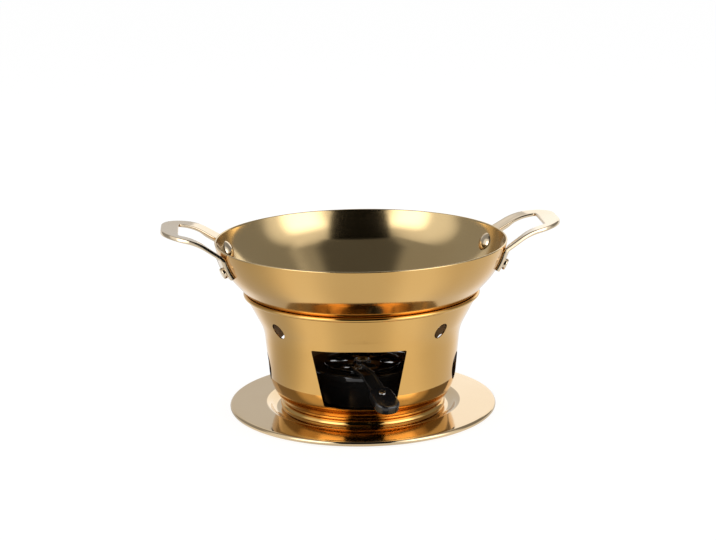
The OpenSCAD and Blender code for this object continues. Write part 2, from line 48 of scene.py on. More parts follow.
# Lengths in metres: a millimetre, the distance within which points merge, the height that lamps look at
MM = 0.001
WELD = 1e-6
AIM_Z = 0.08
FULL_TURN = 2 * math.pi

Point = tuple[float, float]
Line = list[tuple[float, float, float]]
Colour = tuple[float, float, float]
Edge = tuple[float, float]


class Body(Enum):
    """The rigid bodies that pieces ride on."""

    TRAY = "tray"
    STAND = "stand"
    PAN = "pan"
    BURNER = "burner"
    DAMPER = "damper"


class Slot(Enum):
    """The record's material slots."""

    POLISHED = "gold_polished"
    SATIN = "gold_satin"
    PALE = "pale_gold"
    ENAMEL = "black_enamel"
    MOULDING = "black_moulding"
    STEEL = "steel"
    WOOL = "wick_wool"


# Lines and sections


def sin(degrees: float) -> float:
    """Sine of an angle in degrees."""
    return math.sin(math.radians(degrees))


def cos(degrees: float) -> float:
    """Cosine of an angle in degrees."""
    return math.cos(math.radians(degrees))


def tan(degrees: float) -> float:
    """Tangent of an angle in degrees."""
    return math.tan(math.radians(degrees))


def bend(start: Point, lean_from: float, lean_to: float, radius: float, steps: int = 24) -> Line:
    """A stretch of a line that turns on a radius.

    Args:
        start: Radius and height of the first point, in millimetres.
        lean_from: Lean of the line from upright at its start, in degrees.
        lean_to: Lean at its end.
        radius: Radius of the turn.
        steps: Number of chords.

    Returns:
        Points of radius, height and lean.
    """
    side = 1 if lean_to > lean_from else -1
    leans = [lean_from + (lean_to - lean_from) * i / steps for i in range(steps + 1)]
    return [
        (
            start[0] + side * radius * (cos(lean_from) - cos(a)),
            start[1] + side * radius * (sin(a) - sin(lean_from)),
            a,
        )
        for a in leans
    ]


def ahead(point: tuple[float, float, float], distance: float, steps: int = 1) -> Line:
    """Points that go straight on from the end of a line.

    Args:
        point: Radius, height and lean of the end.
        distance: Length of the straight stretch.
        steps: Number of points.

    Returns:
        The points of the stretch, without its start.
    """
    r, z, a = point
    return [
        (r + distance * i / steps * sin(a), z + distance * i / steps * cos(a), a)
        for i in range(1, steps + 1)
    ]


def beside(line: Line, distance: float) -> list[Point]:
    """The line moved to its outer side.

    Args:
        line: Points of radius, height and lean.
        distance: How far it moves, in millimetres.

    Returns:
        Points of radius and height.
    """
    return [(r + distance * cos(a), z - distance * sin(a)) for r, z, a in line]


def arc(centre: Point, radius: float, start: float, end: float, steps: int) -> list[Point]:
    """Points on a circle.

    Args:
        centre: Centre of the circle.
        radius: Its radius.
        start: First angle, in degrees.
        end: Last angle.
        steps: Number of chords.

    Returns:
        The points, both ends included.
    """
    angles = [start + (end - start) * i / steps for i in range(steps + 1)]
    return [(centre[0] + radius * cos(a), centre[1] + radius * sin(a)) for a in angles]


def domed(radius: float, low: float, edge: float, height: float, steps: int) -> list[Point]:
    """Section of a domed head, from its rim to its top.

    Args:
        radius: Radius of the rim.
        low: Height of the head's underside.
        edge: Height of the rim's upright edge.
        height: Height of the whole head.
        steps: Number of chords.

    Returns:
        The points, both ends included.
    """
    angles = [90 * i / steps for i in range(steps + 1)]
    return [(radius * cos(a), low + edge + (height - edge) * sin(a)) for a in angles]


def corner_arc(before: Point, corner: Point, after: Point, radius: float, steps: int) -> list[Point]:
    """The arc that rounds one corner of an outline.

    Args:
        before: The point before the corner.
        corner: The corner.
        after: The point after it.
        radius: Radius of the arc.
        steps: Number of chords.

    Returns:
        The points, both ends included.
    """
    q = Vector(corner)
    u, v = (Vector(before) - q).normalized(), (Vector(after) - q).normalized()
    half = u.angle(v) / 2
    centre = q + (u + v).normalized() * radius / math.sin(half)
    first, last = (q + way * radius / math.tan(half) - centre for way in (u, v))
    turn = math.degrees(first.angle_signed(last))
    begin = math.degrees(math.atan2(first.y, first.x))
    return arc((centre.x, centre.y), radius, begin, begin - turn, steps)


def rounded(corners: Sequence[Point], radii: Sequence[float], steps: int = 10) -> list[Point]:
    """A polygon with each corner rounded to its own radius.

    Args:
        corners: The corners in order.
        radii: One radius for each corner.
        steps: Number of chords on a corner.

    Returns:
        The points of the rounded outline.
    """
    after = [*corners[1:], corners[0]]
    points: list[Point] = []
    for i, radius in enumerate(radii):
        points += corner_arc(corners[i - 1], corners[i], after[i], radius, steps)
    return points


def lengths(path: Sequence[Sequence[float]]) -> list[float]:
    """Length of a path up to each of its points.

    Args:
        path: The points, whose first two values are their place.

    Returns:
        The lengths, the first of them 0.
    """
    marks = [0.0]
    for p, q in zip(path, path[1:]):
        marks.append(marks[-1] + math.dist(p[:2], q[:2]))
    return marks


def read_at(marks: Sequence[float], rows: Sequence[Sequence[float]], mark: float) -> tuple[float, ...]:
    """Reads a row between the rows of a table.

    Args:
        marks: Rising marks, one for each row.
        rows: The rows.
        mark: Where to read.

    Returns:
        The row in between, or past the last mark straight on.
    """
    i = 1
    while i < len(marks) - 1 and marks[i] < mark:
        i += 1
    share = (mark - marks[i - 1]) / (marks[i] - marks[i - 1])
    return tuple(a + (b - a) * share for a, b in zip(rows[i - 1], rows[i]))


# Meshes


def turned(degrees: float, axis: str = "Z") -> Matrix:
    """A turn about one of the axes."""
    return Matrix.Rotation(math.radians(degrees), 4, axis)


def moved(x: float, y: float, z: float) -> Matrix:
    """A move by a distance in millimetres."""
    return Matrix.Translation(Vector((x, y, z)) * MM)


def mesh_of(bm: bmesh.types.BMesh, name: str) -> bpy.types.Mesh:
    """Stores a mesh in the file.

    Args:
        bm: The mesh, which is used up.
        name: Its name.

    Returns:
        The stored mesh.
    """
    mesh = bpy.data.meshes.new(name)
    bm.to_mesh(mesh)
    bm.free()
    return mesh


def in_scene(name: str, data: bpy.types.ID) -> bpy.types.Object:
    """Puts a mesh, a lamp or a camera into the scene.

    Args:
        name: The object's name.
        data: What the object shows.

    Returns:
        The object.
    """
    obj = bpy.data.objects.new(name, data)
    bpy.context.scene.collection.objects.link(obj)
    return obj


def revolve(points: Sequence[Point], steps: int = 192, closed: bool = False) -> bmesh.types.BMesh:
    """Turns a section about the upright axis.

    Args:
        points: Radius and height of the section's points, in millimetres.
        steps: Number of steps in the full turn.
        closed: Whether the section's last point joins its first.

    Returns:
        A closed mesh in metres, its faces outwards.
    """
    bm = bmesh.new()
    verts = [bm.verts.new((r * MM, 0, z * MM)) for r, z in points]
    pairs = list(zip(verts, verts[1:]))
    if closed:
        pairs.append((verts[-1], verts[0]))
    edges = [bm.edges.new(pair) for pair in pairs]
    bmesh.ops.spin(
        bm, geom=verts + edges, cent=(0, 0, 0), axis=(0, 0, 1), dvec=(0, 0, 0),
        angle=FULL_TURN, steps=steps, use_merge=True,
    )
    bmesh.ops.remove_doubles(bm, verts=bm.verts, dist=WELD)
    bmesh.ops.recalc_face_normals(bm, faces=bm.faces)
    return bm


def sweep(stations: Sequence[Sequence[Vector]]) -> bmesh.types.BMesh:
    """Extrudes a closed loop from station to station and closes both ends.

    Args:
        stations: For each station the loop's points, in metres, in the same order.

    Returns:
        A closed mesh, its faces outwards.
    """
    bm = bmesh.new()
    loop = [bm.verts.new(p) for p in stations[0]]
    edges = [bm.edges.new((loop[i - 1], loop[i])) for i in range(len(loop))]
    first_edges = list(edges)
    for points in stations[1:]:
        made = bmesh.ops.extrude_edge_only(bm, edges=edges)["geom"]
        fresh = {g for g in made if isinstance(g, bmesh.types.BMVert)}
        edges = [g for g in made if isinstance(g, bmesh.types.BMEdge)]
        edges = [e for e in edges if e.verts[0] in fresh and e.verts[1] in fresh]
        loop = [next(e.other_vert(v) for e in v.link_edges if e.other_vert(v) in fresh) for v in loop]
        for vert, point in zip(loop, points):
            vert.co = point
    for rim in (first_edges, edges):
        bmesh.ops.edgeloop_fill(bm, edges=rim)
    bmesh.ops.remove_doubles(bm, verts=bm.verts, dist=WELD)
    bmesh.ops.recalc_face_normals(bm, faces=bm.faces)
    return bm


def plate(outline: Sequence[Point], thickness: float) -> bmesh.types.BMesh:
    """Extrudes a flat outline upwards.

    Args:
        outline: The outline's points, in millimetres.
        thickness: Height of the plate, in millimetres.

    Returns:
        A closed mesh that stands on Z = 0, in metres.
    """
    bm = bmesh.new()
    verts = [bm.verts.new((x * MM, y * MM, 0)) for x, y in outline]
    face = bmesh.ops.contextual_create(bm, geom=verts)["faces"][0]
    made = bmesh.ops.extrude_face_region(bm, geom=[face])["geom"]
    top = [g for g in made if isinstance(g, bmesh.types.BMVert)]
    bmesh.ops.translate(bm, verts=top, vec=(0, 0, thickness * MM))
    bmesh.ops.recalc_face_normals(bm, faces=bm.faces)
    return bm


def rod(radius: float, length: float, sides: int = 48) -> bmesh.types.BMesh:
    """A straight round bar that stands on Z = 0, used to cut holes.

    Args:
        radius: Its radius, in millimetres.
        length: Its length, in millimetres.
        sides: Number of sides.

    Returns:
        A closed mesh in metres.
    """
    bm = bmesh.new()
    bmesh.ops.create_cone(
        bm, cap_ends=True, segments=sides, radius1=radius * MM, radius2=radius * MM, depth=length * MM,
        matrix=moved(0, 0, length / 2),
    )
    return bm


def move(bm: bmesh.types.BMesh, matrix: Matrix) -> bmesh.types.BMesh:
    """Moves a whole mesh by a matrix and returns it."""
    bmesh.ops.transform(bm, matrix=matrix, verts=bm.verts)
    return bm


def join(parts: Sequence[bmesh.types.BMesh]) -> bmesh.types.BMesh:
    """Puts several meshes into one.

    Args:
        parts: The meshes, which are used up.

    Returns:
        One mesh with all their faces.
    """
    whole = bmesh.new()
    for part in parts:
        mesh = mesh_of(part, "part")
        whole.from_mesh(mesh)
        bpy.data.meshes.remove(mesh)
    return whole


def cut(bm: bmesh.types.BMesh, cutters: Sequence[bmesh.types.BMesh]) -> bmesh.types.BMesh:
    """Cuts holes in a mesh with the Boolean modifier.

    Args:
        bm: The mesh to cut, which is used up.
        cutters: Closed meshes of the holes, which are used up.

    Returns:
        The cut mesh.
    """
    whole = in_scene("whole", mesh_of(bm, "whole"))
    holes = in_scene("holes", mesh_of(join(cutters), "holes"))
    modifier = whole.modifiers.new("cut", "BOOLEAN")
    modifier.operation = "DIFFERENCE"
    modifier.solver = "EXACT"
    modifier.object = holes
    evaluated = whole.evaluated_get(bpy.context.evaluated_depsgraph_get())
    result = bmesh.new()
    result.from_mesh(evaluated.to_mesh())
    evaluated.to_mesh_clear()
    for obj in (whole, holes):
        mesh = obj.data
        bpy.data.objects.remove(obj)
        bpy.data.meshes.remove(mesh)
    bmesh.ops.remove_doubles(result, verts=result.verts, dist=WELD)
    return result


def sharp_edges(bm: bmesh.types.BMesh, least: float) -> list[bmesh.types.BMEdge]:
    """Edges where two faces meet at more than an angle.

    Args:
        bm: The mesh.
        least: The angle, in degrees.

    Returns:
        The edges.
    """
    limit = math.radians(least)
    return [e for e in bm.edges if len(e.link_faces) == 2 and e.calc_face_angle(0) > limit]


def soften(bm: bmesh.types.BMesh, width: float, segments: int = 3, least: float = 40) -> bmesh.types.BMesh:
    """Rounds the sharp edges of a mesh.

    Args:
        bm: The mesh.
        width: Width of the rounding, in millimetres.
        segments: Number of chords across it.
        least: Edges below this angle, in degrees, stay as they are.

    Returns:
        The same mesh.
    """
    bmesh.ops.bevel(
        bm, geom=sharp_edges(bm, least), offset=width * MM, offset_type="OFFSET", segments=segments,
        profile=0.5, affect="EDGES", clamp_overlap=True, material=-1,
    )
    return bm


@dataclass(frozen=True)
class Piece:
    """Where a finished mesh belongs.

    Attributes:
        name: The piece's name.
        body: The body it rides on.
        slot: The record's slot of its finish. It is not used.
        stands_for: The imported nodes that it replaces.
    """

    name: str
    body: Body
    slot: Slot
    stands_for: tuple[str, ...]

    def place(
        self, bm: bmesh.types.BMesh, finishes: Sequence[bpy.types.Material], crease: float = 35
    ) -> bpy.types.Object:
        """Makes the object of a mesh and ties it to its body.

        Args:
            bm: The mesh, which is used up.
            finishes: Its materials, in the order of its faces' material numbers.
            crease: Edges above this angle, in degrees, are shaded sharp.

        Returns:
            The object.
        """
        for face in bm.faces:
            face.smooth = True
        for edge in sharp_edges(bm, crease):
            edge.smooth = False
        mesh = mesh_of(bm, self.name)
        for material in finishes:
            mesh.materials.append(material)
        obj = in_scene(self.name, mesh)
        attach(obj, self.body.value)
        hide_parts(*self.stands_for)
        log.info("%s: %d faces on %s", self.name, len(mesh.polygons), self.body.value)
        return obj


# Shader graphs


class Socket:
    """One output of a node that can be used in sums."""

    def __init__(self, graph: "Graph", output: bpy.types.NodeSocket) -> None:
        """Wraps an output of a graph's node."""
        self.graph = graph
        self.output = output

    def _sum(self, operation: str, *values: "Socket | float") -> "Socket":
        """Adds one Math node.

        Args:
            operation: The node's operation.
            values: Its inputs in order.

        Returns:
            The node's output.
        """
        node = self.graph.add("ShaderNodeMath", {"operation": operation}, dict(enumerate(values)))
        return Socket(self.graph, node.outputs[0])

    def __add__(self, other: "Socket | float") -> "Socket":
        """Sum."""
        return self._sum("ADD", self, other)

    def __radd__(self, other: float) -> "Socket":
        """Sum with a number in front."""
        return self._sum("ADD", other, self)

    def __sub__(self, other: "Socket | float") -> "Socket":
        """Difference."""
        return self._sum("SUBTRACT", self, other)

    def __rsub__(self, other: float) -> "Socket":
        """Difference from a number."""
        return self._sum("SUBTRACT", other, self)

    def __mul__(self, other: "Socket | float") -> "Socket":
        """Product."""
        return self._sum("MULTIPLY", self, other)

    def __rmul__(self, other: float) -> "Socket":
        """Product with a number in front."""
        return self._sum("MULTIPLY", other, self)

    def __pow__(self, other: "Socket | float") -> "Socket":
        """Power."""
        return self._sum("POWER", self, other)

    def higher(self, other: "Socket | float") -> "Socket":
        """The larger of two values."""
        return self._sum("MAXIMUM", self, other)

    def ramp(self, low: float, high: float) -> "Socket":
        """A smooth step from 0 at low to 1 at high."""
        node = self.graph.add(
            "ShaderNodeMapRange", {"interpolation_type": "SMOOTHSTEP"}, {0: self, 1: low, 2: high}
        )
        return Socket(self.graph, node.outputs[0])


class Graph:
    """A material's or the world's nodes."""

    def __init__(self, tree: bpy.types.NodeTree) -> None:
        """Starts an empty graph in a node tree."""
        self.tree = tree
        tree.nodes.clear()

    def add(
        self, kind: str, settings: dict[str, object], values: dict[str | int, object]
    ) -> bpy.types.Node:
        """Adds a node.

        Args:
            kind: The node's type.
            settings: Its own settings, set first.
            values: Values or links of its inputs, by name or number.

        Returns:
            The node.
        """
        node = self.tree.nodes.new(kind)
        for name, value in settings.items():
            setattr(node, name, value)
        for key, value in values.items():
            if isinstance(value, Socket):
                self.tree.links.new(value.output, node.inputs[key])
            else:
                node.inputs[key].default_value = value
        return node

    def out(self, node: bpy.types.Node, key: str | int = 0) -> Socket:
        """One output of a node, by name or number."""
        return Socket(self, node.outputs[key])

    def mix(self, factor: Socket, low: Colour | Socket, high: Colour | Socket) -> Socket:
        """A colour between two others.

        Args:
            factor: 0 gives the first colour and 1 the second.
            low: First colour.
            high: Second colour.

        Returns:
            The mixed colour.
        """
        ends = [c if isinstance(c, Socket) else (*c, 1.0) for c in (low, high)]
        node = self.add("ShaderNodeMix", {"data_type": "RGBA"}, {0: factor, 6: ends[0], 7: ends[1]})
        return self.out(node, 2)

    def coords(self) -> Socket:
        """The object's own coordinates, in metres."""
        return self.out(self.add("ShaderNodeTexCoord", {}, {}), "Object")

    def noise(self, vector: Socket, scale: float, detail: float = 2.0, rough: float = 0.5) -> Socket:
        """A soft random pattern.

        Args:
            vector: Where it is read.
            scale: Waves for each unit of the vector.
            detail: Number of finer layers.
            rough: Strength of the finer layers.

        Returns:
            Values around 0.5.
        """
        node = self.add(
            "ShaderNodeTexNoise", {}, {"Vector": vector, "Scale": scale, "Detail": detail, "Roughness": rough}
        )
        return self.out(node, 0)

    def bump(self, height: Socket, distance: float, strength: float) -> Socket:
        """A fine relief.

        Args:
            height: Its height, about 0 to 1.
            distance: Height of 1, in metres.
            strength: Share of it that is used.

        Returns:
            The normal.
        """
        node = self.add("ShaderNodeBump", {}, {"Height": height, "Distance": distance, "Strength": strength})
        return self.out(node)

    def surface(self, values: dict[str | int, object]) -> None:
        """Ends a material in one surface shader.

        Args:
            values: Values or links of the shader's inputs.
        """
        shader = self.add("ShaderNodeBsdfPrincipled", {}, values)
        self.add("ShaderNodeOutputMaterial", {}, {"Surface": self.out(shader)})


def grey(level: float) -> tuple[float, float, float, float]:
    """A grey as a node takes it."""
    return level, level, level, 1.0


def new_graph(name: str) -> tuple[bpy.types.Material, Graph]:
    """Starts a material.

    Args:
        name: The material's name.

    Returns:
        The material and its empty graph.
    """
    material = bpy.data.materials.new(name)
    material.use_nodes = True
    return material, Graph(material.node_tree)


@dataclass(frozen=True)
class GoldFinish:
    """Gold-coloured stainless steel with fine lines from turning about the upright axis.

    Attributes:
        name: The material's name.
        tint: Colour of the metal.
        warm: Colour where the coating is a little thicker.
        roughness: Roughness between the lines.
        line_rough: Roughness that the lines add.
        lines: Lines for each metre across them.
        line_depth: Depth of the lines, in metres.
        wave: Depth of the sheet's slight waves, in metres.
        anisotropy: How far the lines stretch a highlight.
    """

    name: str
    tint: Colour
    warm: Colour
    roughness: float
    line_rough: float
    lines: float
    line_depth: float
    wave: float
    anisotropy: float

    def make(self) -> bpy.types.Material:
        """Builds the finish.

        Returns:
            The material.
        """
        material, g = new_graph(self.name)
        coords = g.coords()
        split = g.add("ShaderNodeSeparateXYZ", {}, {0: coords})
        x, y, z = (g.out(split, i) for i in range(3))
        radius = (x * x + y * y) ** 0.5
        rings = g.out(g.add("ShaderNodeCombineXYZ", {}, {0: radius, 1: z}))
        fine = g.noise(rings, self.lines, 3.0, 0.6)
        broad = g.noise(rings, self.lines / 9, 2.0)
        cloud = g.noise(coords, 16.0, 3.0, 0.55)
        print_marks = g.noise(coords, 75.0, 3.0, 0.6).ramp(0.56, 0.74) * cloud.ramp(0.52, 0.62)
        line_mask = fine * 0.65 + broad * 0.35
        roughness = self.roughness + self.line_rough * line_mask + 0.05 * print_marks
        colour = g.mix(cloud.ramp(0.35, 0.68), self.tint, self.warm)
        waves = g.noise(coords, 26.0, 1.0)
        wave_normal = g.bump(waves, self.wave, 1.0)
        relief = g.add(
            "ShaderNodeBump", {},
            {"Height": line_mask, "Distance": self.line_depth, "Strength": 1.0, "Normal": wave_normal},
        )
        g.surface({
            "Base Color": colour, "Metallic": 1.0, "Roughness": roughness,
            "Anisotropic": self.anisotropy, "Normal": g.out(relief),
        })
        return material


@dataclass(frozen=True)
class BlackFinish:
    """Black enamel or moulding with a slight orange peel and a little dust.

    Attributes:
        name: The material's name.
        tint: Colour of the black.
        dust: Colour of the dust.
        dust_share: Most that the dust covers.
        roughness: Roughness of a clean place.
        peel: Waves of the relief for each metre.
        depth: Depth of the relief, in metres.
        coat: Weight of the clear gloss on top.
    """

    name: str
    tint: Colour
    dust: Colour
    dust_share: float
    roughness: float
    peel: float
    depth: float
    coat: float

    def make(self) -> bpy.types.Material:
        """Builds the finish.

        Returns:
            The material.
        """
        material, g = new_graph(self.name)
        coords = g.coords()
        specks = g.noise(coords, 1400.0, 2.0, 0.7).ramp(0.6, 0.75)
        cloud = g.noise(coords, 40.0, 3.0)
        dust = specks * cloud.ramp(0.45, 0.65) * self.dust_share
        peel = g.noise(coords, self.peel, 2.0)
        g.surface({
            "Base Color": g.mix(dust, self.tint, self.dust),
            "Roughness": self.roughness + 0.08 * cloud.ramp(0.4, 0.7) + 0.3 * dust,
            "Normal": g.bump(peel, self.depth, 1.0), "Coat Weight": self.coat, "Coat Roughness": 0.05,
        })
        return material


@dataclass(frozen=True)
class SteelFinish:
    """Bright steel with fine scratches.

    Attributes:
        name: The material's name.
        tint: Colour of the metal.
        stain: Colour of faint heat stains.
        roughness: Roughness of a clean place.
    """

    name: str
    tint: Colour
    stain: Colour
    roughness: float

    def make(self) -> bpy.types.Material:
        """Builds the finish.

        Returns:
            The material.
        """
        material, g = new_graph(self.name)
        coords = g.coords()
        stretch = g.out(g.add("ShaderNodeMapping", {}, {"Vector": coords, "Scale": (300.0, 4000.0, 900.0)}))
        scratches = g.noise(stretch, 1.0, 2.0)
        cloud = g.noise(coords, 90.0, 2.0)
        g.surface({
            "Base Color": g.mix(cloud.ramp(0.45, 0.75), self.tint, self.stain), "Metallic": 1.0,
            "Roughness": self.roughness + 0.18 * scratches, "Normal": g.bump(scratches, 0.00001, 1.0),
        })
        return material


@dataclass(frozen=True)
class WoolFinish:
    """Off-white wadding of matted fibres, a little scorched on top.

    Attributes:
        name: The material's name.
        tint: Colour of clean fibres.
        scorch: Colour of the scorched places.
    """

    name: str
    tint: Colour
    scorch: Colour

    def make(self) -> bpy.types.Material:
        """Builds the finish.

        Returns:
            The material.
        """
        material, g = new_graph(self.name)
        coords = g.coords()
        stretch = g.out(g.add("ShaderNodeMapping", {}, {"Vector": coords, "Scale": (500.0, 1900.0, 900.0)}))
        cross = g.out(g.add("ShaderNodeMapping", {}, {"Vector": coords, "Scale": (1900.0, 450.0, 900.0)}))
        fibres = g.noise(stretch, 1.0, 3.0, 0.65).higher(g.noise(cross, 1.0, 3.0, 0.65))
        scorched = g.noise(coords, 60.0, 3.0).ramp(0.5, 0.72)
        g.surface({
            "Base Color": g.mix(scorched * 0.5 + 0.25 * (1 - fibres), self.tint, self.scorch),
            "Roughness": 0.85 + 0.1 * fibres, "Normal": g.bump(fibres, 0.0006, 0.9),
        })
        return material


@dataclass(frozen=True)
class Finishes:
    """All the materials, made once."""

    gold: bpy.types.Material
    stand_inside: bpy.types.Material
    tray_gold: bpy.types.Material
    pan_outside: bpy.types.Material
    pan_inside: bpy.types.Material
    pale_gold: bpy.types.Material
    enamel: bpy.types.Material
    moulding: bpy.types.Material
    steel: bpy.types.Material
    wool: bpy.types.Material

    @classmethod
    def make(cls) -> "Finishes":
        """Builds every finish.

        Returns:
            All the materials.
        """
        tint, warm = (0.70, 0.42, 0.135), (0.68, 0.395, 0.12)
        side, side_warm = (0.70, 0.43, 0.15), (0.68, 0.405, 0.135)
        # The stand's inside gets a darker, rougher copy of the gold: painted shade inside the stand.
        shade_tint, shade_warm = (0.25, 0.145, 0.06), (0.21, 0.115, 0.045)
        tray, tray_warm = (0.71, 0.54, 0.33), (0.69, 0.515, 0.305)
        pale, pale_warm = (0.72, 0.53, 0.27), (0.70, 0.505, 0.25)
        light, light_warm = (0.77, 0.635, 0.465), (0.75, 0.61, 0.43)
        return cls(
            gold=GoldFinish("gold_polished", tint, warm, 0.05, 0.05, 2600, 0.15e-6, 3e-6, 0.3).make(),
            # Darker copy of the gold for the stand's inside: painted shade.
            stand_inside=GoldFinish(
                "gold_inside_painted_shade", shade_tint, shade_warm, 0.24, 0.10, 2600, 0.6e-6, 3e-6, 0.3
            ).make(),
            tray_gold=GoldFinish("gold_tray", tray, tray_warm, 0.06, 0.05, 2200, 0.15e-6, 4e-6, 0.3).make(),
            pan_outside=GoldFinish(
                "gold_pan_outside", side, side_warm, 0.09, 0.07, 2400, 0.5e-6, 3e-6, 0.3
            ).make(),
            pan_inside=GoldFinish(
                "gold_pan_inside", pale, pale_warm, 0.085, 0.08, 2800, 0.7e-6, 3e-6, 0.35
            ).make(),
            pale_gold=GoldFinish(
                "gold_handles", light, light_warm, 0.08, 0.06, 1800, 0.5e-6, 3e-6, 0.1
            ).make(),
            enamel=BlackFinish(
                "black_enamel", (0.020, 0.019, 0.018), (0.20, 0.19, 0.18), 0.06, 0.06, 500, 1.0e-6, 0.5
            ).make(),
            moulding=BlackFinish(
                "black_moulding", (0.010, 0.010, 0.011), (0.22, 0.21, 0.20), 0.08, 0.16, 1500, 3e-6, 0.3
            ).make(),
            steel=SteelFinish("bright_steel", (0.60, 0.60, 0.59), (0.50, 0.45, 0.38), 0.14).make(),
            wool=WoolFinish("wick_wool", (0.80, 0.77, 0.70), (0.42, 0.33, 0.22)).make(),
        )


# The object


@dataclass
class Tray:
    """The round tray with its well and rolled edge. Sizes are in millimetres and degrees."""

    diameter: float = 222.0
    sheet: float = 1.2
    well_depth: float = 4.8
    well_wall_w: float = 11.5
    well_room: float = 2.0
    edge_d: float = 4.4
    edge_turn: float = 200.0

    def build(self, foot_out_r: float, finishes: Finishes) -> None:
        """Makes the tray.

        Args:
            foot_out_r: Outer radius of the foot that stands in the well.
            finishes: The materials.
        """
        lean = 90 - 2 * math.degrees(math.atan2(self.well_depth, self.well_wall_w))
        curve_r = self.well_depth / (2 * (1 - sin(lean)))
        floor_r = foot_out_r + self.well_room
        brim_z = self.sheet + self.well_depth
        edge_r = self.edge_d / 2
        up = bend((floor_r, self.sheet), 90, lean, curve_r)
        out = bend(up[-1][:2], lean, 90, curve_r)
        edge = bend((self.diameter / 2 - edge_r, brim_z), 90, 90 + self.edge_turn, edge_r)
        flat = [(floor_r * i / 10, self.sheet, 90.0) for i in range(10)]
        brim_start, brim_end = out[-1][0], edge[0][0]
        brim = [(brim_start + (brim_end - brim_start) * i / 8, brim_z, 90.0) for i in range(1, 8)]
        line = flat + up + out[1:] + brim + edge
        section = beside(line, 0) + beside(line, self.sheet)[::-1]
        piece = Piece("tray_dish", Body.TRAY, Slot.POLISHED, ("tray",))
        piece.place(revolve(section, 224), [finishes.tray_gold])


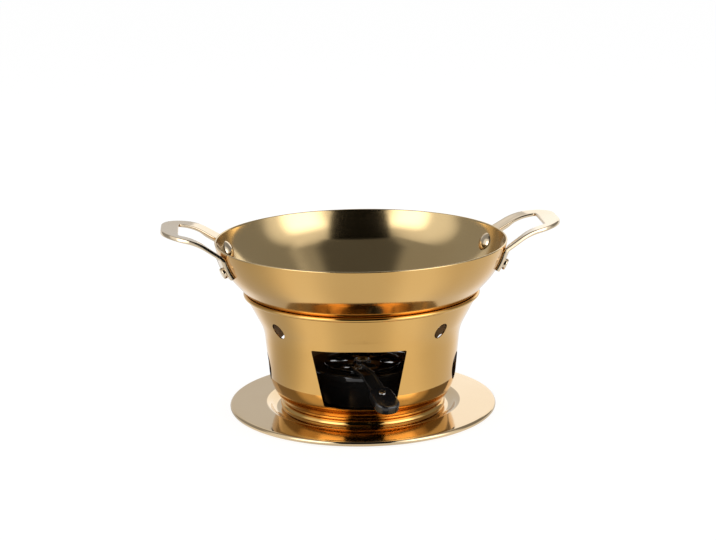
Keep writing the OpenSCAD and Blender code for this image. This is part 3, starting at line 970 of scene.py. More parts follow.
@dataclass
class Stand:
    """The flared, vented stand and its foot ring. Sizes are in millimetres and degrees."""

    foot_z: float = 1.25
    sheet: float = 1.0
    height: float = 98.5
    mouth_d: float = 192.0
    bead_d: float = 3.2
    bead_gap: float = 0.3
    drum_d: float = 161.0
    drum_h: float = 62.0
    flare_legs: float = 4.2
    drum_lean: float = 5.3
    belly_r: float = 43.0
    heel_lean: float = 43.0
    heel_r: float = 2.5
    foot_h: float = 6.8
    foot_flat: float = 0.8
    sill_h: float = 20.0
    door_h: float = 47.5
    door_low_w: float = 57.0
    door_top_w: float = 76.0
    door_bow: float = 1.5
    door_corner_r: float = 1.2
    high_vent_d: float = 13.0
    high_vent_h: float = 79.0
    high_vent_angle: float = 49.0
    low_vent_d: float = 23.0
    low_vent_h: float = 38.0
    low_vents: int = 6
    low_vent_angle: float = 80.0

    @property
    def floor_z(self) -> float:
        """Height of the floor's underside."""
        return self.foot_z + self.foot_h

    @property
    def floor_r(self) -> float:
        """Radius of the flat floor."""
        rise = self.belly_r * (sin(self.heel_lean) - sin(self.drum_lean))
        heel_rise = self.heel_r * (1 - sin(self.heel_lean))
        cone_rise = self.drum_h - self.foot_h - heel_rise - rise
        low_r = self.drum_d / 2 - cone_rise * tan(self.drum_lean)
        belly_in = self.belly_r * (cos(self.drum_lean) - cos(self.heel_lean))
        return low_r - belly_in - self.heel_r * cos(self.heel_lean)

    @property
    def foot_mid_r(self) -> float:
        """Radius of the foot ring's middle."""
        return self.floor_r + self.foot_flat / 4

    @property
    def foot_out_r(self) -> float:
        """Outer radius of the foot ring."""
        return self.foot_mid_r + (self.foot_h + self.foot_flat) / 2

    def wall_line(self) -> Line:
        """The outer line from the axis through floor, heel, belly, drum and flare.

        Returns:
            Points of radius, height and lean.
        """
        flare_z, mouth_z = self.foot_z + self.drum_h, self.foot_z + self.height
        drum_r, mouth_r = self.drum_d / 2, self.mouth_d / 2
        chord = Vector((mouth_r - drum_r, mouth_z - flare_z))
        aim = math.degrees(math.atan2(chord.x, chord.y))
        mouth_lean = aim + math.degrees(math.asin(sin(aim - self.drum_lean) / self.flare_legs))
        leg = chord.length * sin(mouth_lean - aim) / sin(mouth_lean - self.drum_lean)
        flare_r = leg / tan((mouth_lean - self.drum_lean) / 2)
        flat = [(self.floor_r * i / 10, self.floor_z, 90.0) for i in range(10)]
        heel = bend((self.floor_r, self.floor_z), 90, self.heel_lean, self.heel_r, 10)
        belly = bend(heel[-1][:2], self.heel_lean, self.drum_lean, self.belly_r, 30)
        cone_end = (drum_r, flare_z)
        cone = ahead(belly[-1], math.dist(belly[-1][:2], cone_end), 14)[:-1]
        flare = bend(cone_end, self.drum_lean, mouth_lean, flare_r, 26)
        straight = ahead(flare[-1], math.dist(flare[-1][:2], (mouth_r, mouth_z)), 14)
        return flat + heel + belly[1:] + cone + flare + straight

    def section(self) -> list[Point]:
        """The wall's closed section with the mouth's rolled bead.

        Returns:
            Points of radius and height.
        """
        line = self.wall_line()
        centre, lean = line[-1][:2], line[-1][2]
        bead_r = self.bead_d / 2
        back = (-sin(lean), -cos(lean))
        reach = math.sqrt(bead_r ** 2 - self.sheet ** 2)
        inner = (back[0] * reach - self.sheet * cos(lean), back[1] * reach + self.sheet * sin(lean))
        begin = math.degrees(math.atan2(back[1], back[0]))
        end = math.degrees(math.atan2(inner[1], inner[0])) % 360
        free = [q for q in line if math.dist(q[:2], centre) > bead_r + self.bead_gap]
        bead = arc(centre, bead_r, begin, end, 40)
        return beside(free, 0) + bead + beside(free, -self.sheet)[::-1]

    def door(self) -> bmesh.types.BMesh:
        """The shape that cuts the door.

        Returns:
            A closed mesh, in place.
        """
        low, top = self.door_low_w / 2, self.door_top_w / 2
        sill = self.foot_z + self.sill_h
        head = sill + self.door_h
        corners = [
            (-low, sill), (0, sill - self.door_bow), (low, sill),
            (top, head), (0, head + self.door_bow), (-top, head),
        ]
        bow_r = self.door_low_w * 2
        radii = [self.door_corner_r, bow_r, self.door_corner_r] * 2
        depth = self.drum_d / 2
        upright = moved(0, -depth / 2, 0) @ turned(90, "X")
        return move(plate(rounded(corners, radii), depth), upright)

    def vent(self, azimuth: float, height: float, diameter: float) -> bmesh.types.BMesh:
        """The shape that cuts a round vent.

        Args:
            azimuth: Turn about the axis from the door, in degrees.
            height: Height above the foot.
            diameter: The vent's diameter.

        Returns:
            A bar that runs outwards through the wall.
        """
        outwards = turned(azimuth - 90) @ turned(90, "Y")
        lift, start = moved(0, 0, self.foot_z + height), moved(0, 0, self.drum_d / 4)
        return move(rod(diameter / 2, self.drum_d / 2), lift @ outwards @ start)

    def build(self, finishes: Finishes) -> None:
        """Makes the shell and the foot ring.

        Args:
            finishes: The materials.
        """
        step = (360 - 2 * self.low_vent_angle) / (self.low_vents - 1)
        holes = [self.door()]
        for angle in (self.high_vent_angle, 180 - self.high_vent_angle):
            holes += [self.vent(side * angle, self.high_vent_h, self.high_vent_d) for side in (-1, 1)]
        holes += [
            self.vent(self.low_vent_angle + i * step, self.low_vent_h, self.low_vent_d)
            for i in range(self.low_vents)
        ]
        shell = cut(revolve(self.section(), 240), holes)
        bead_low = (self.foot_z + self.height - self.bead_d) * MM
        # Inward faces below the bead and upward faces get the darker gold: painted shade inside the stand.
        for face in shell.faces:
            middle = face.calc_center_median()
            inwards = face.normal.xy.dot(middle.xy) < 0 or face.normal.z > 0.9
            face.material_index = 1 if inwards and middle.z < bead_low else 0
        drum = Piece("stand_drum", Body.STAND, Slot.POLISHED, ("stand_shell",))
        drum.place(shell, [finishes.gold, finishes.stand_inside], 28)
        ring_r = (self.foot_h + self.foot_flat) / 2
        flat_angle = math.degrees(math.asin(self.foot_h / 2 / ring_r))
        centre = (self.foot_mid_r, self.foot_z + self.foot_h / 2)
        ring = arc(centre, ring_r, -flat_angle, flat_angle, 24)
        ring += arc(centre, ring_r, 180 - flat_angle, 180 + flat_angle, 24)
        foot = Piece("stand_foot", Body.STAND, Slot.POLISHED, ("stand_foot_ring",))
        foot.place(revolve(ring, 224, closed=True), [finishes.gold])


@dataclass
class Pan:
    """The wok-shaped pan with its conical lower wall. Sizes are in millimetres and degrees."""

    diameter: float = 240.0
    sheet: float = 1.5
    depth: float = 72.0
    cone_lean: float = 42.0
    curve_r: float = 61.0
    rim_lean: float = 10.0
    base_r: float = 30.0
    turn: float = 7.0
    seat_clear: float = 0.3

    @property
    def curve_x(self) -> float:
        """Radius of the upper curve's centre."""
        return self.diameter / 2 - self.curve_r * cos(self.rim_lean)

    def curve_z(self, stand: Stand) -> float:
        """Height of the upper curve's centre when the cone rests on the stand's bead.

        Args:
            stand: What the pan rests on.

        Returns:
            The height.
        """
        seat_r = self.curve_r + stand.bead_d / 2 + self.seat_clear
        across = stand.mouth_d / 2 - self.curve_x
        return stand.foot_z + stand.height + (seat_r - across * cos(self.cone_lean)) / sin(self.cone_lean)

    def on_curve(self, stand: Stand, low: float) -> Point:
        """Place on the upper curve's outside, as an angle below the curve's centre."""
        return self.curve_x + self.curve_r * cos(low), self.curve_z(stand) - self.curve_r * sin(low)

    def line(self, stand: Stand) -> Line:
        """The outer line from the axis through base, cone and curve to the rim.

        Args:
            stand: What the pan rests on.

        Returns:
            Points of radius, height and lean.
        """
        bottom = self.on_curve(stand, self.rim_lean)[1] - self.depth
        cone = self.on_curve(stand, self.cone_lean)
        low_z = bottom + self.base_r * (1 - sin(self.cone_lean))
        low_r = cone[0] - (cone[1] - low_z) * tan(self.cone_lean)
        flat_r = low_r - self.base_r * cos(self.cone_lean)
        flat = [(flat_r * i / 14, bottom, 90.0) for i in range(14)]
        base = bend((flat_r, bottom), 90, self.cone_lean, self.base_r, 28)
        wall = ahead(base[-1], math.dist((low_r, low_z), cone), 12)[:-1]
        return flat + base + wall + bend(cone, self.cone_lean, self.rim_lean, self.curve_r, 40)

    def build(self, stand: Stand, finishes: Finishes) -> None:
        """Makes the pan.

        Args:
            stand: What the pan rests on.
            finishes: The materials.
        """
        line = self.line(stand)
        middle = beside(line[-1:], -self.sheet / 2)[0]
        rim = arc(middle, self.sheet / 2, -self.rim_lean, 180 - self.rim_lean, 10)
        outer, inner = beside(line, 0), beside(line, -self.sheet)[::-1]
        bm = revolve(outer + rim[1:-1] + inner, 240)
        floor_z = (line[0][1] + self.sheet / 2) * MM
        for face in bm.faces:
            face.material_index = 1 if face.normal.z > 0 and face.calc_center_median().z > floor_z else 0
        piece = Piece("pan_wok", Body.PAN, Slot.SATIN, ("pan_bowl",))
        piece.place(bm, [finishes.pan_outside, finishes.pan_inside])


@dataclass
class Handles:
    """The two riveted loop handles. Sizes are in millimetres and degrees."""

    strap_t: float = 3.4
    thin_t: float = 2.6
    edge_w: float = 2.4
    arm_w: float = 14.5
    opening_w: float = 43.0
    opening_corner_r: float = 2.5
    leg_spread: float = 18.5
    leg_low: float = 29.0
    leg_high: float = 15.3
    arm_bend_r: float = 5.0
    arm_rise: float = 36.0
    arm_run: float = 12.0
    ease_r: float = 38.0
    pad_rise: float = 12.0
    reach: float = 43.0
    pad_len: float = 14.0
    pad_corner_r: float = 30.0
    top_round: float = 0.9
    under_round: float = 0.5
    rivet_d: float = 5.0
    rivet_out_d: float = 9.5
    rivet_out_h: float = 2.4
    rivet_in_d: float = 15.5
    rivet_in_h: float = 3.0
    rivet_edge: float = 0.45
    rivet_crown: float = 0.15
    rivet_low: float = 24.0
    clear: float = 0.05
    pad_lead: float = 7.0
    hollow_from: float = 26.0
    hollow_ease: float = 6.0
    hollow_least: float = 0.02
    hollow_soft: float = 0.3
    thin_round: float = 0.45
    arm_stations: int = 54
    pad_stations: int = 30

    def strap_line(self, pan: Pan, stand: Stand) -> Line:
        """The strap's middle line from the leg's end past the pad's tip.

        Args:
            pan: The pan that the legs lie on.
            stand: What the pan rests on.

        Returns:
            Points of radius, height and lean.
        """
        mid_r = pan.curve_r + self.clear + self.strap_t / 2
        start = (pan.curve_x + mid_r * cos(self.leg_low), pan.curve_z(stand) - mid_r * sin(self.leg_low))
        leg = bend(start, self.leg_low, self.leg_high, mid_r, 16)
        elbow = bend(leg[-1][:2], self.leg_high, 90 - self.arm_rise, self.arm_bend_r, 14)
        run = ahead(elbow[-1], self.arm_run, 8)
        ease = bend(run[-1][:2], 90 - self.arm_rise, 90 - self.pad_rise, self.ease_r, 18)
        return leg + elbow[1:] + run + ease[1:] + ahead(ease[-1], self.reach, 30)

    def build(self, pan: Pan, stand: Stand, finishes: Finishes) -> None:
        """Makes both handles and their four rivets.

        Args:
            pan: The pan that they are riveted to.
            stand: What the pan rests on.
            finishes: The materials.
        """
        for side, turn in (("right", pan.turn), ("left", pan.turn + 180)):
            piece = Piece(f"{side}_handle_loop", Body.PAN, Slot.PALE, (f"{side}_handle",))
            loop = HandleLoop(self, pan, stand).mesh()
            piece.place(move(loop, turned(turn)), [finishes.pale_gold], 50)
            for place, sign in (("front", -1), ("rear", 1)):
                if side == "left":
                    sign = -sign
                name = f"{side}_{place}_rivet"
                rivet = Piece(f"{name}_head", Body.PAN, Slot.PALE, (name,))
                rivet.place(self.rivet(turn + sign * self.leg_spread, pan, stand), [finishes.pale_gold])

    def rivet(self, azimuth: float, pan: Pan, stand: Stand) -> bmesh.types.BMesh:
        """One rivet with its flat outer head and domed inner head.

        Args:
            azimuth: Turn about the pan's axis, in degrees.
            pan: The pan.
            stand: What the pan rests on.

        Returns:
            Its mesh, in place.
        """
        in_r, out_r = self.rivet_in_d / 2, self.rivet_out_d / 2
        in_lift = pan.sheet + 2 * self.clear + in_r ** 2 / (2 * (pan.curve_r - pan.sheet))
        out_lift = self.strap_t + 2 * self.clear
        ball_r = (in_r ** 2 + self.rivet_in_h ** 2) / (2 * self.rivet_in_h)
        half = math.degrees(math.asin(in_r / ball_r))
        dome = [
            (ball_r * sin(half * i / 16), -in_lift - self.rivet_in_h + ball_r * (1 - cos(half * i / 16)))
            for i in range(17)
        ]
        top = out_lift + self.rivet_out_h
        edge = self.rivet_out_h * self.rivet_edge
        head = [(out_r, out_lift), (out_r, top - edge)] + arc((out_r - edge, top - edge), edge, 0, 90, 8)[1:]
        crown = [((out_r - edge) * (1 - i / 6), top + self.rivet_crown * i / 6) for i in range(1, 7)]
        section = dome + [(self.rivet_d / 2, -in_lift), (self.rivet_d / 2, out_lift)] + head + crown
        wall_r, wall_z = pan.on_curve(stand, self.rivet_low)
        place = turned(azimuth) @ moved(wall_r, 0, wall_z) @ turned(90 + self.rivet_low, "Y")
        return move(revolve(section, 48), place)


class HandleLoop:
    """Works out the stations of one handle's strap, its middle along X."""

    def __init__(self, handles: Handles, pan: Pan, stand: Stand) -> None:
        """Measures the strap's line and its outline from above.

        Args:
            handles: The handles' sizes.
            pan: The pan that they are riveted to.
            stand: What the pan rests on.
        """
        h = self.h = handles
        self.line = h.strap_line(pan, stand)
        self.length = lengths(self.line)
        rivet_r = pan.curve_x + pan.curve_r * cos(h.rivet_low)
        self.tip_r = pan.diameter / 2 + h.reach
        self.pad_in_r = self.tip_r - h.pad_len
        self.arm_y = (h.opening_w + h.arm_w) / 2
        leg_x, leg_y = rivet_r * cos(h.leg_spread), rivet_r * sin(h.leg_spread)
        self.slope = (leg_y - self.arm_y) / (self.pad_in_r - leg_x)

    def at(self, s: float) -> tuple[float, ...]:
        """Radius, height and lean of the line at a length along it."""
        return read_at(self.length, self.line, s)

    def length_at(self, radius: float) -> float:
        """Length along the line where it reaches a distance from the pan's axis."""
        return read_at([point[0] for point in self.line], [(s,) for s in self.length], radius)[0]

    def side_y(self, s: float, offset: float) -> float:
        """Distance of an arm's edge from the handle's middle.

        Args:
            s: Length along the line.
            offset: Distance of the edge from the arm's middle.

        Returns:
            The distance, seen from above.
        """
        radius = self.at(s)[0]
        y = self.arm_y
        for _ in range(6):
            x = math.sqrt(max(radius ** 2 - y ** 2, 0.0))
            y = self.arm_y + offset + self.slope * (self.pad_in_r - x)
        return y

    def along(self, corners: Sequence[Point], radius: float) -> list[Edge]:
        """Evenly spaced stations round one corner of an outline seen from above.

        Args:
            corners: Start, corner and end, as x and y.
            radius: The corner's radius.

        Returns:
            Length along the line and distance from the middle, for each station.
        """
        start, corner, end = corners
        path = [start, *corner_arc(start, corner, end, radius, 40), end]
        marks = lengths(path)
        result = []
        for k in range(self.h.pad_stations + 1):
            x, y = read_at(marks, path, marks[-1] * k / self.h.pad_stations)
            result.append((self.length_at(math.hypot(x, y)), y))
        return result

    def edges(self) -> list[tuple[Edge, Edge]]:
        """The strap's edges at each station, from one leg's end to the other's.

        Returns:
            Outer and inner edge: length along the line and distance from the middle.
        """
        h = self.h
        pad_start = self.length_at(math.hypot(self.pad_in_r - h.pad_lead, self.arm_y))
        half = []
        for i in range(h.arm_stations):
            s = pad_start * i / h.arm_stations
            half.append(((s, self.side_y(s, h.arm_w / 2)), (s, self.side_y(s, -h.arm_w / 2))))
        radius = self.at(pad_start)[0]
        out_y, in_y = self.side_y(pad_start, h.arm_w / 2), self.side_y(pad_start, -h.arm_w / 2)
        tip_y = self.arm_y + h.arm_w / 2 - self.slope * h.pad_len
        outer = self.along(
            [(math.sqrt(radius ** 2 - out_y ** 2), out_y), (self.tip_r, tip_y), (self.tip_r, 0)],
            h.pad_corner_r,
        )
        opening_y = self.arm_y - h.arm_w / 2
        inner = self.along(
            [(math.sqrt(radius ** 2 - in_y ** 2), in_y), (self.pad_in_r, opening_y), (self.pad_in_r, 0)],
            h.opening_corner_r,
        )
        half += list(zip(outer, inner))
        mirrored = [((o[0], -o[1]), (i[0], -i[1])) for o, i in half[-2::-1]]
        return half + mirrored

    def loop(self, width: float, hollow: float) -> list[Point]:
        """The strap's section: distance in from the outer edge, and depth below the top face.

        Args:
            width: The strap's width at the station.
            hollow: Depth of the hollow under the strap inside its outer edge.

        Returns:
            The section's points in order.
        """
        h = self.h
        t, e, u = h.strap_t, h.top_round, h.under_round
        thin = t - hollow
        inner_e = min(e, thin * h.thin_round)
        soft = h.hollow_soft * hollow
        return (
            arc((e, e), e, 180, 270, 5)
            + [(width * f, 0.0) for f in (0.25, 0.5, 0.75)]
            + arc((width - inner_e, inner_e), inner_e, 270, 360, 5)
            + arc((width - inner_e, thin - inner_e), inner_e, 0, 90, 4)
            + [(h.edge_w + soft, thin), (h.edge_w, thin + soft), (h.edge_w, t - soft), (h.edge_w - soft, t)]
            + arc((u, t - u), u, 90, 180, 4)
        )

    def mesh(self) -> bmesh.types.BMesh:
        """Sweeps the section along the strap.

        Returns:
            The handle's mesh.
        """
        h = self.h
        stations = []
        for outer, inner in self.edges():
            width = math.hypot(outer[0] - inner[0], outer[1] - inner[1])
            share = (min(outer[0], inner[0]) - h.hollow_from) / h.hollow_ease
            hollow = (h.strap_t - h.thin_t) * min(max(share, h.hollow_least), 1.0)
            points = []
            for d, depth in self.loop(width, hollow):
                f = d / width
                s, y = outer[0] + (inner[0] - outer[0]) * f, outer[1] + (inner[1] - outer[1]) * f
                r, z, lean = self.at(s)
                off = depth - h.strap_t / 2
                r, z = r + off * cos(lean), z - off * sin(lean)
                points.append(Vector((math.sqrt(r * r - y * y), y, z)) * MM)
            stations.append(points)
        return sweep(stations)


@dataclass
class Burner:
    """The spirit burner: cup, wadding, cover and pivot. Sizes are in millimetres and degrees."""

    base_z: float = 9.1
    cover_d: float = 90.0
    sheet: float = 1.2
    skirt_h: float = 5.0
    cup_h: float = 28.0
    cup_taper: float = 5.0
    cup_fillet: float = 2.0
    shoulder_r: float = 1.6
    shoulder_in_r: float = 0.41
    skirt_round: float = 0.5
    hole_round: float = 0.25
    hole_start: float = 2.0
    hole_len: float = 6.0
    pad_h: float = 19.0
    pad_clear: float = 0.3
    pad_side_gap: float = 1.6
    pad_low_gap: float = 0.2
    pad_low_r: float = 2.0
    pad_top_gap: float = 1.0
    pad_top_r: float = 5.0
    pad_crown: float = 0.8
    pad_waist: float = 0.6
    pad_waist_z: float = 2.5
    pad_waist_cut: float = 3.0
    pad_matting: float = 0.45
    plate_clear: float = 0.15
    part_clear: float = 0.05
    ports: int = 6
    port_d: float = 9.0
    port_circle_d: float = 38.0
    travel: float = 28.0
    pivot_d: float = 6.0
    pivot_head_d: float = 11.0
    pivot_head_h: float = 2.0
    pivot_head_edge: float = 0.3
    washer_d: float = 14.0
    washer_t: float = 0.6
    washer_round: float = 0.12
    damper_d: float = 64.0
    lever_turn: float = 24.0
    lever_side: float = 14.0
    lever_lap: float = 8.0

    @property
    def damper_edge_x(self) -> float:
        """Distance along the lever from the point nearest to the axis to the damper's edge."""
        return math.sqrt((self.damper_d / 2) ** 2 - self.lever_side ** 2)

    @property
    def port_azimuth(self) -> float:
        """Turn of the damper's first port: the lever's foot lies between two ports."""
        foot = math.degrees(math.atan2(self.lever_side, self.damper_edge_x - self.lever_lap / 2))
        return self.lever_turn - 90 - foot + 180 / self.ports

    @property
    def cover_z(self) -> float:
        """Height of the cover's underside."""
        return self.base_z + self.cup_h + self.part_clear

    @property
    def cover_top(self) -> float:
        """Height of the cover's top face."""
        return self.cover_z + self.sheet

    @property
    def damper_z(self) -> float:
        """Height of the damper plate's underside."""
        return self.cover_top + self.plate_clear

    @property
    def damper_top(self) -> float:
        """Height of the damper plate's top face."""
        return self.damper_z + self.sheet

    @property
    def cup_r(self) -> float:
        """Radius of the cup's mouth."""
        return self.cover_d / 2 - self.sheet - self.plate_clear

    def port_holes(self, azimuth: float, low: float) -> list[bmesh.types.BMesh]:
        """Shapes that cut the flame ports.

        Args:
            azimuth: Turn of the first port, in degrees.
            low: Height of the underside that they cut.

        Returns:
            One bar for each port.
        """
        place = moved(self.port_circle_d / 2, 0, low - self.hole_start)
        turns = [turned(azimuth + i * 360 / self.ports) for i in range(self.ports)]
        return [move(rod(self.port_d / 2, self.hole_len, 32), turn @ place) for turn in turns]

    def build(self, finishes: Finishes) -> None:
        """Makes the burner's fixed pieces.

        Args:
            finishes: The materials.
        """
        low_r, top, fillet = self.cup_r - self.cup_taper, self.base_z + self.cup_h, self.cup_fillet
        outer = [(low_r * i / 6, self.base_z) for i in range(6)]
        outer += arc((low_r - fillet, self.base_z + fillet), fillet, 270, 352, 8)
        wall = [(low_r + self.cup_taper * i / 8, self.base_z + self.cup_h * i / 8) for i in range(2, 9)]
        lip = [(self.cup_r - self.sheet, top)]
        inner = [(r - self.sheet, z) for r, z in reversed(wall[:-1])]
        floor = [(low_r - self.sheet - fillet, self.base_z + self.sheet)]
        floor += [(low_r * i / 6, self.base_z + self.sheet) for i in range(4, -1, -1)]
        cup = revolve(outer + wall + lip + inner + floor, 128)
        Piece("burner_bowl", Body.BURNER, Slot.ENAMEL, ("burner_cup",)).place(cup, [finishes.enamel])
        self.build_pad(finishes)
        self.build_cover(finishes)
        self.build_pivot(finishes)

    def build_pad(self, finishes: Finishes) -> None:
        """Makes the wick wadding as a crowned, matted pad.

        Args:
            finishes: The materials.
        """
        low = self.base_z + self.sheet + self.pad_clear
        low_r = self.cup_r - self.cup_taper - self.sheet - self.pad_clear - self.pad_side_gap
        high_r = low_r + self.cup_taper * self.pad_h / self.cup_h
        top, soft = low + self.pad_h - self.pad_top_gap, self.pad_top_r
        flat_z, flat_r = low + self.pad_low_gap, high_r - soft
        waist_z, waist_h = low + self.pad_waist_z, self.pad_h - soft - self.pad_waist_cut
        section = [(low_r * i / 10, flat_z) for i in range(9)]
        section += arc((low_r - self.pad_low_r, flat_z + self.pad_low_r), self.pad_low_r, 280, 355, 6)
        for i in range(1, 6):
            waist_r = low_r + (high_r - low_r) * i / 6 - self.pad_waist * sin(180 * i / 6)
            section.append((waist_r, waist_z + waist_h * i / 6))
        section += arc((flat_r, top - soft), soft, 0, 80, 10)
        section += [(flat_r * (1 - i / 12), top + self.pad_crown * sin(90 * i / 12)) for i in range(1, 13)]
        bm = revolve(section, 128)
        for vert in bm.verts:
            matted = noise.fractal(vert.co * 110, 0.9, 2.0, 4)
            vert.co += vert.normal * min(max(matted, -1.0), 1.0) * self.pad_matting * MM
        pad = Piece("wick_wadding", Body.BURNER, Slot.WOOL, ("wick_pad",)).place(bm, [finishes.wool], 180)

    def build_cover(self, finishes: Finishes) -> None:
        """Makes the cover with its rounded shoulder and flame ports.

        Args:
            finishes: The materials.
        """
        r, top, low = self.cover_d / 2, self.cover_top, self.cover_top - self.skirt_h
        flat_r, edge = r - self.shoulder_r, self.skirt_round
        shoulder = (flat_r, top - self.shoulder_r)
        section = [(flat_r * i / 16, top) for i in range(16)]
        section += arc(shoulder, self.shoulder_r, 90, 0, 8)
        section += arc((r - edge, low + edge), edge, 0, -90, 4)
        section += [(r - self.sheet, low)]
        section += arc(shoulder, self.shoulder_in_r, 0, 90, 4)
        section += [(flat_r * (1 - i / 12), top - self.sheet) for i in range(1, 13)]
        bm = cut(revolve(section, 160), self.port_holes(self.port_azimuth - self.travel, self.cover_z))
        soften(bm, self.hole_round, 2, 60)
        Piece("burner_lid_plate", Body.BURNER, Slot.ENAMEL, ("burner_cover",)).place(bm, [finishes.enamel])

    def build_pivot(self, finishes: Finishes) -> None:
        """Makes the damper's pivot and its washer.

        Args:
            finishes: The materials.
        """
        washer_z = self.damper_top + self.plate_clear
        washer_r, bore = self.washer_d / 2, self.pivot_d / 2 + self.part_clear
        washer_top = washer_z + self.washer_t
        ring = [(bore, washer_z), (washer_r, washer_z), (washer_r, washer_top), (bore, washer_top)]
        washer = soften(revolve(ring, 64, closed=True), self.washer_round, 2)
        washer_ring = Piece("damper_washer_ring", Body.BURNER, Slot.STEEL, ("damper_washer",))
        washer_ring.place(washer, [finishes.steel])
        head_z = washer_top + self.part_clear
        under = self.cover_z - self.part_clear - self.sheet
        head_r, pin_r = self.pivot_head_d / 2, self.pivot_d / 2
        section = [(0, under), (head_r, under), (head_r, under + self.sheet), (pin_r, under + self.sheet)]
        section += [(pin_r, head_z), (head_r, head_z)]
        section += domed(head_r, head_z, self.pivot_head_edge, self.pivot_head_h, 12)
        pivot = Piece("damper_pivot_pin", Body.BURNER, Slot.STEEL, ("damper_pivot",))
        pivot.place(revolve(section, 64), [finishes.steel])


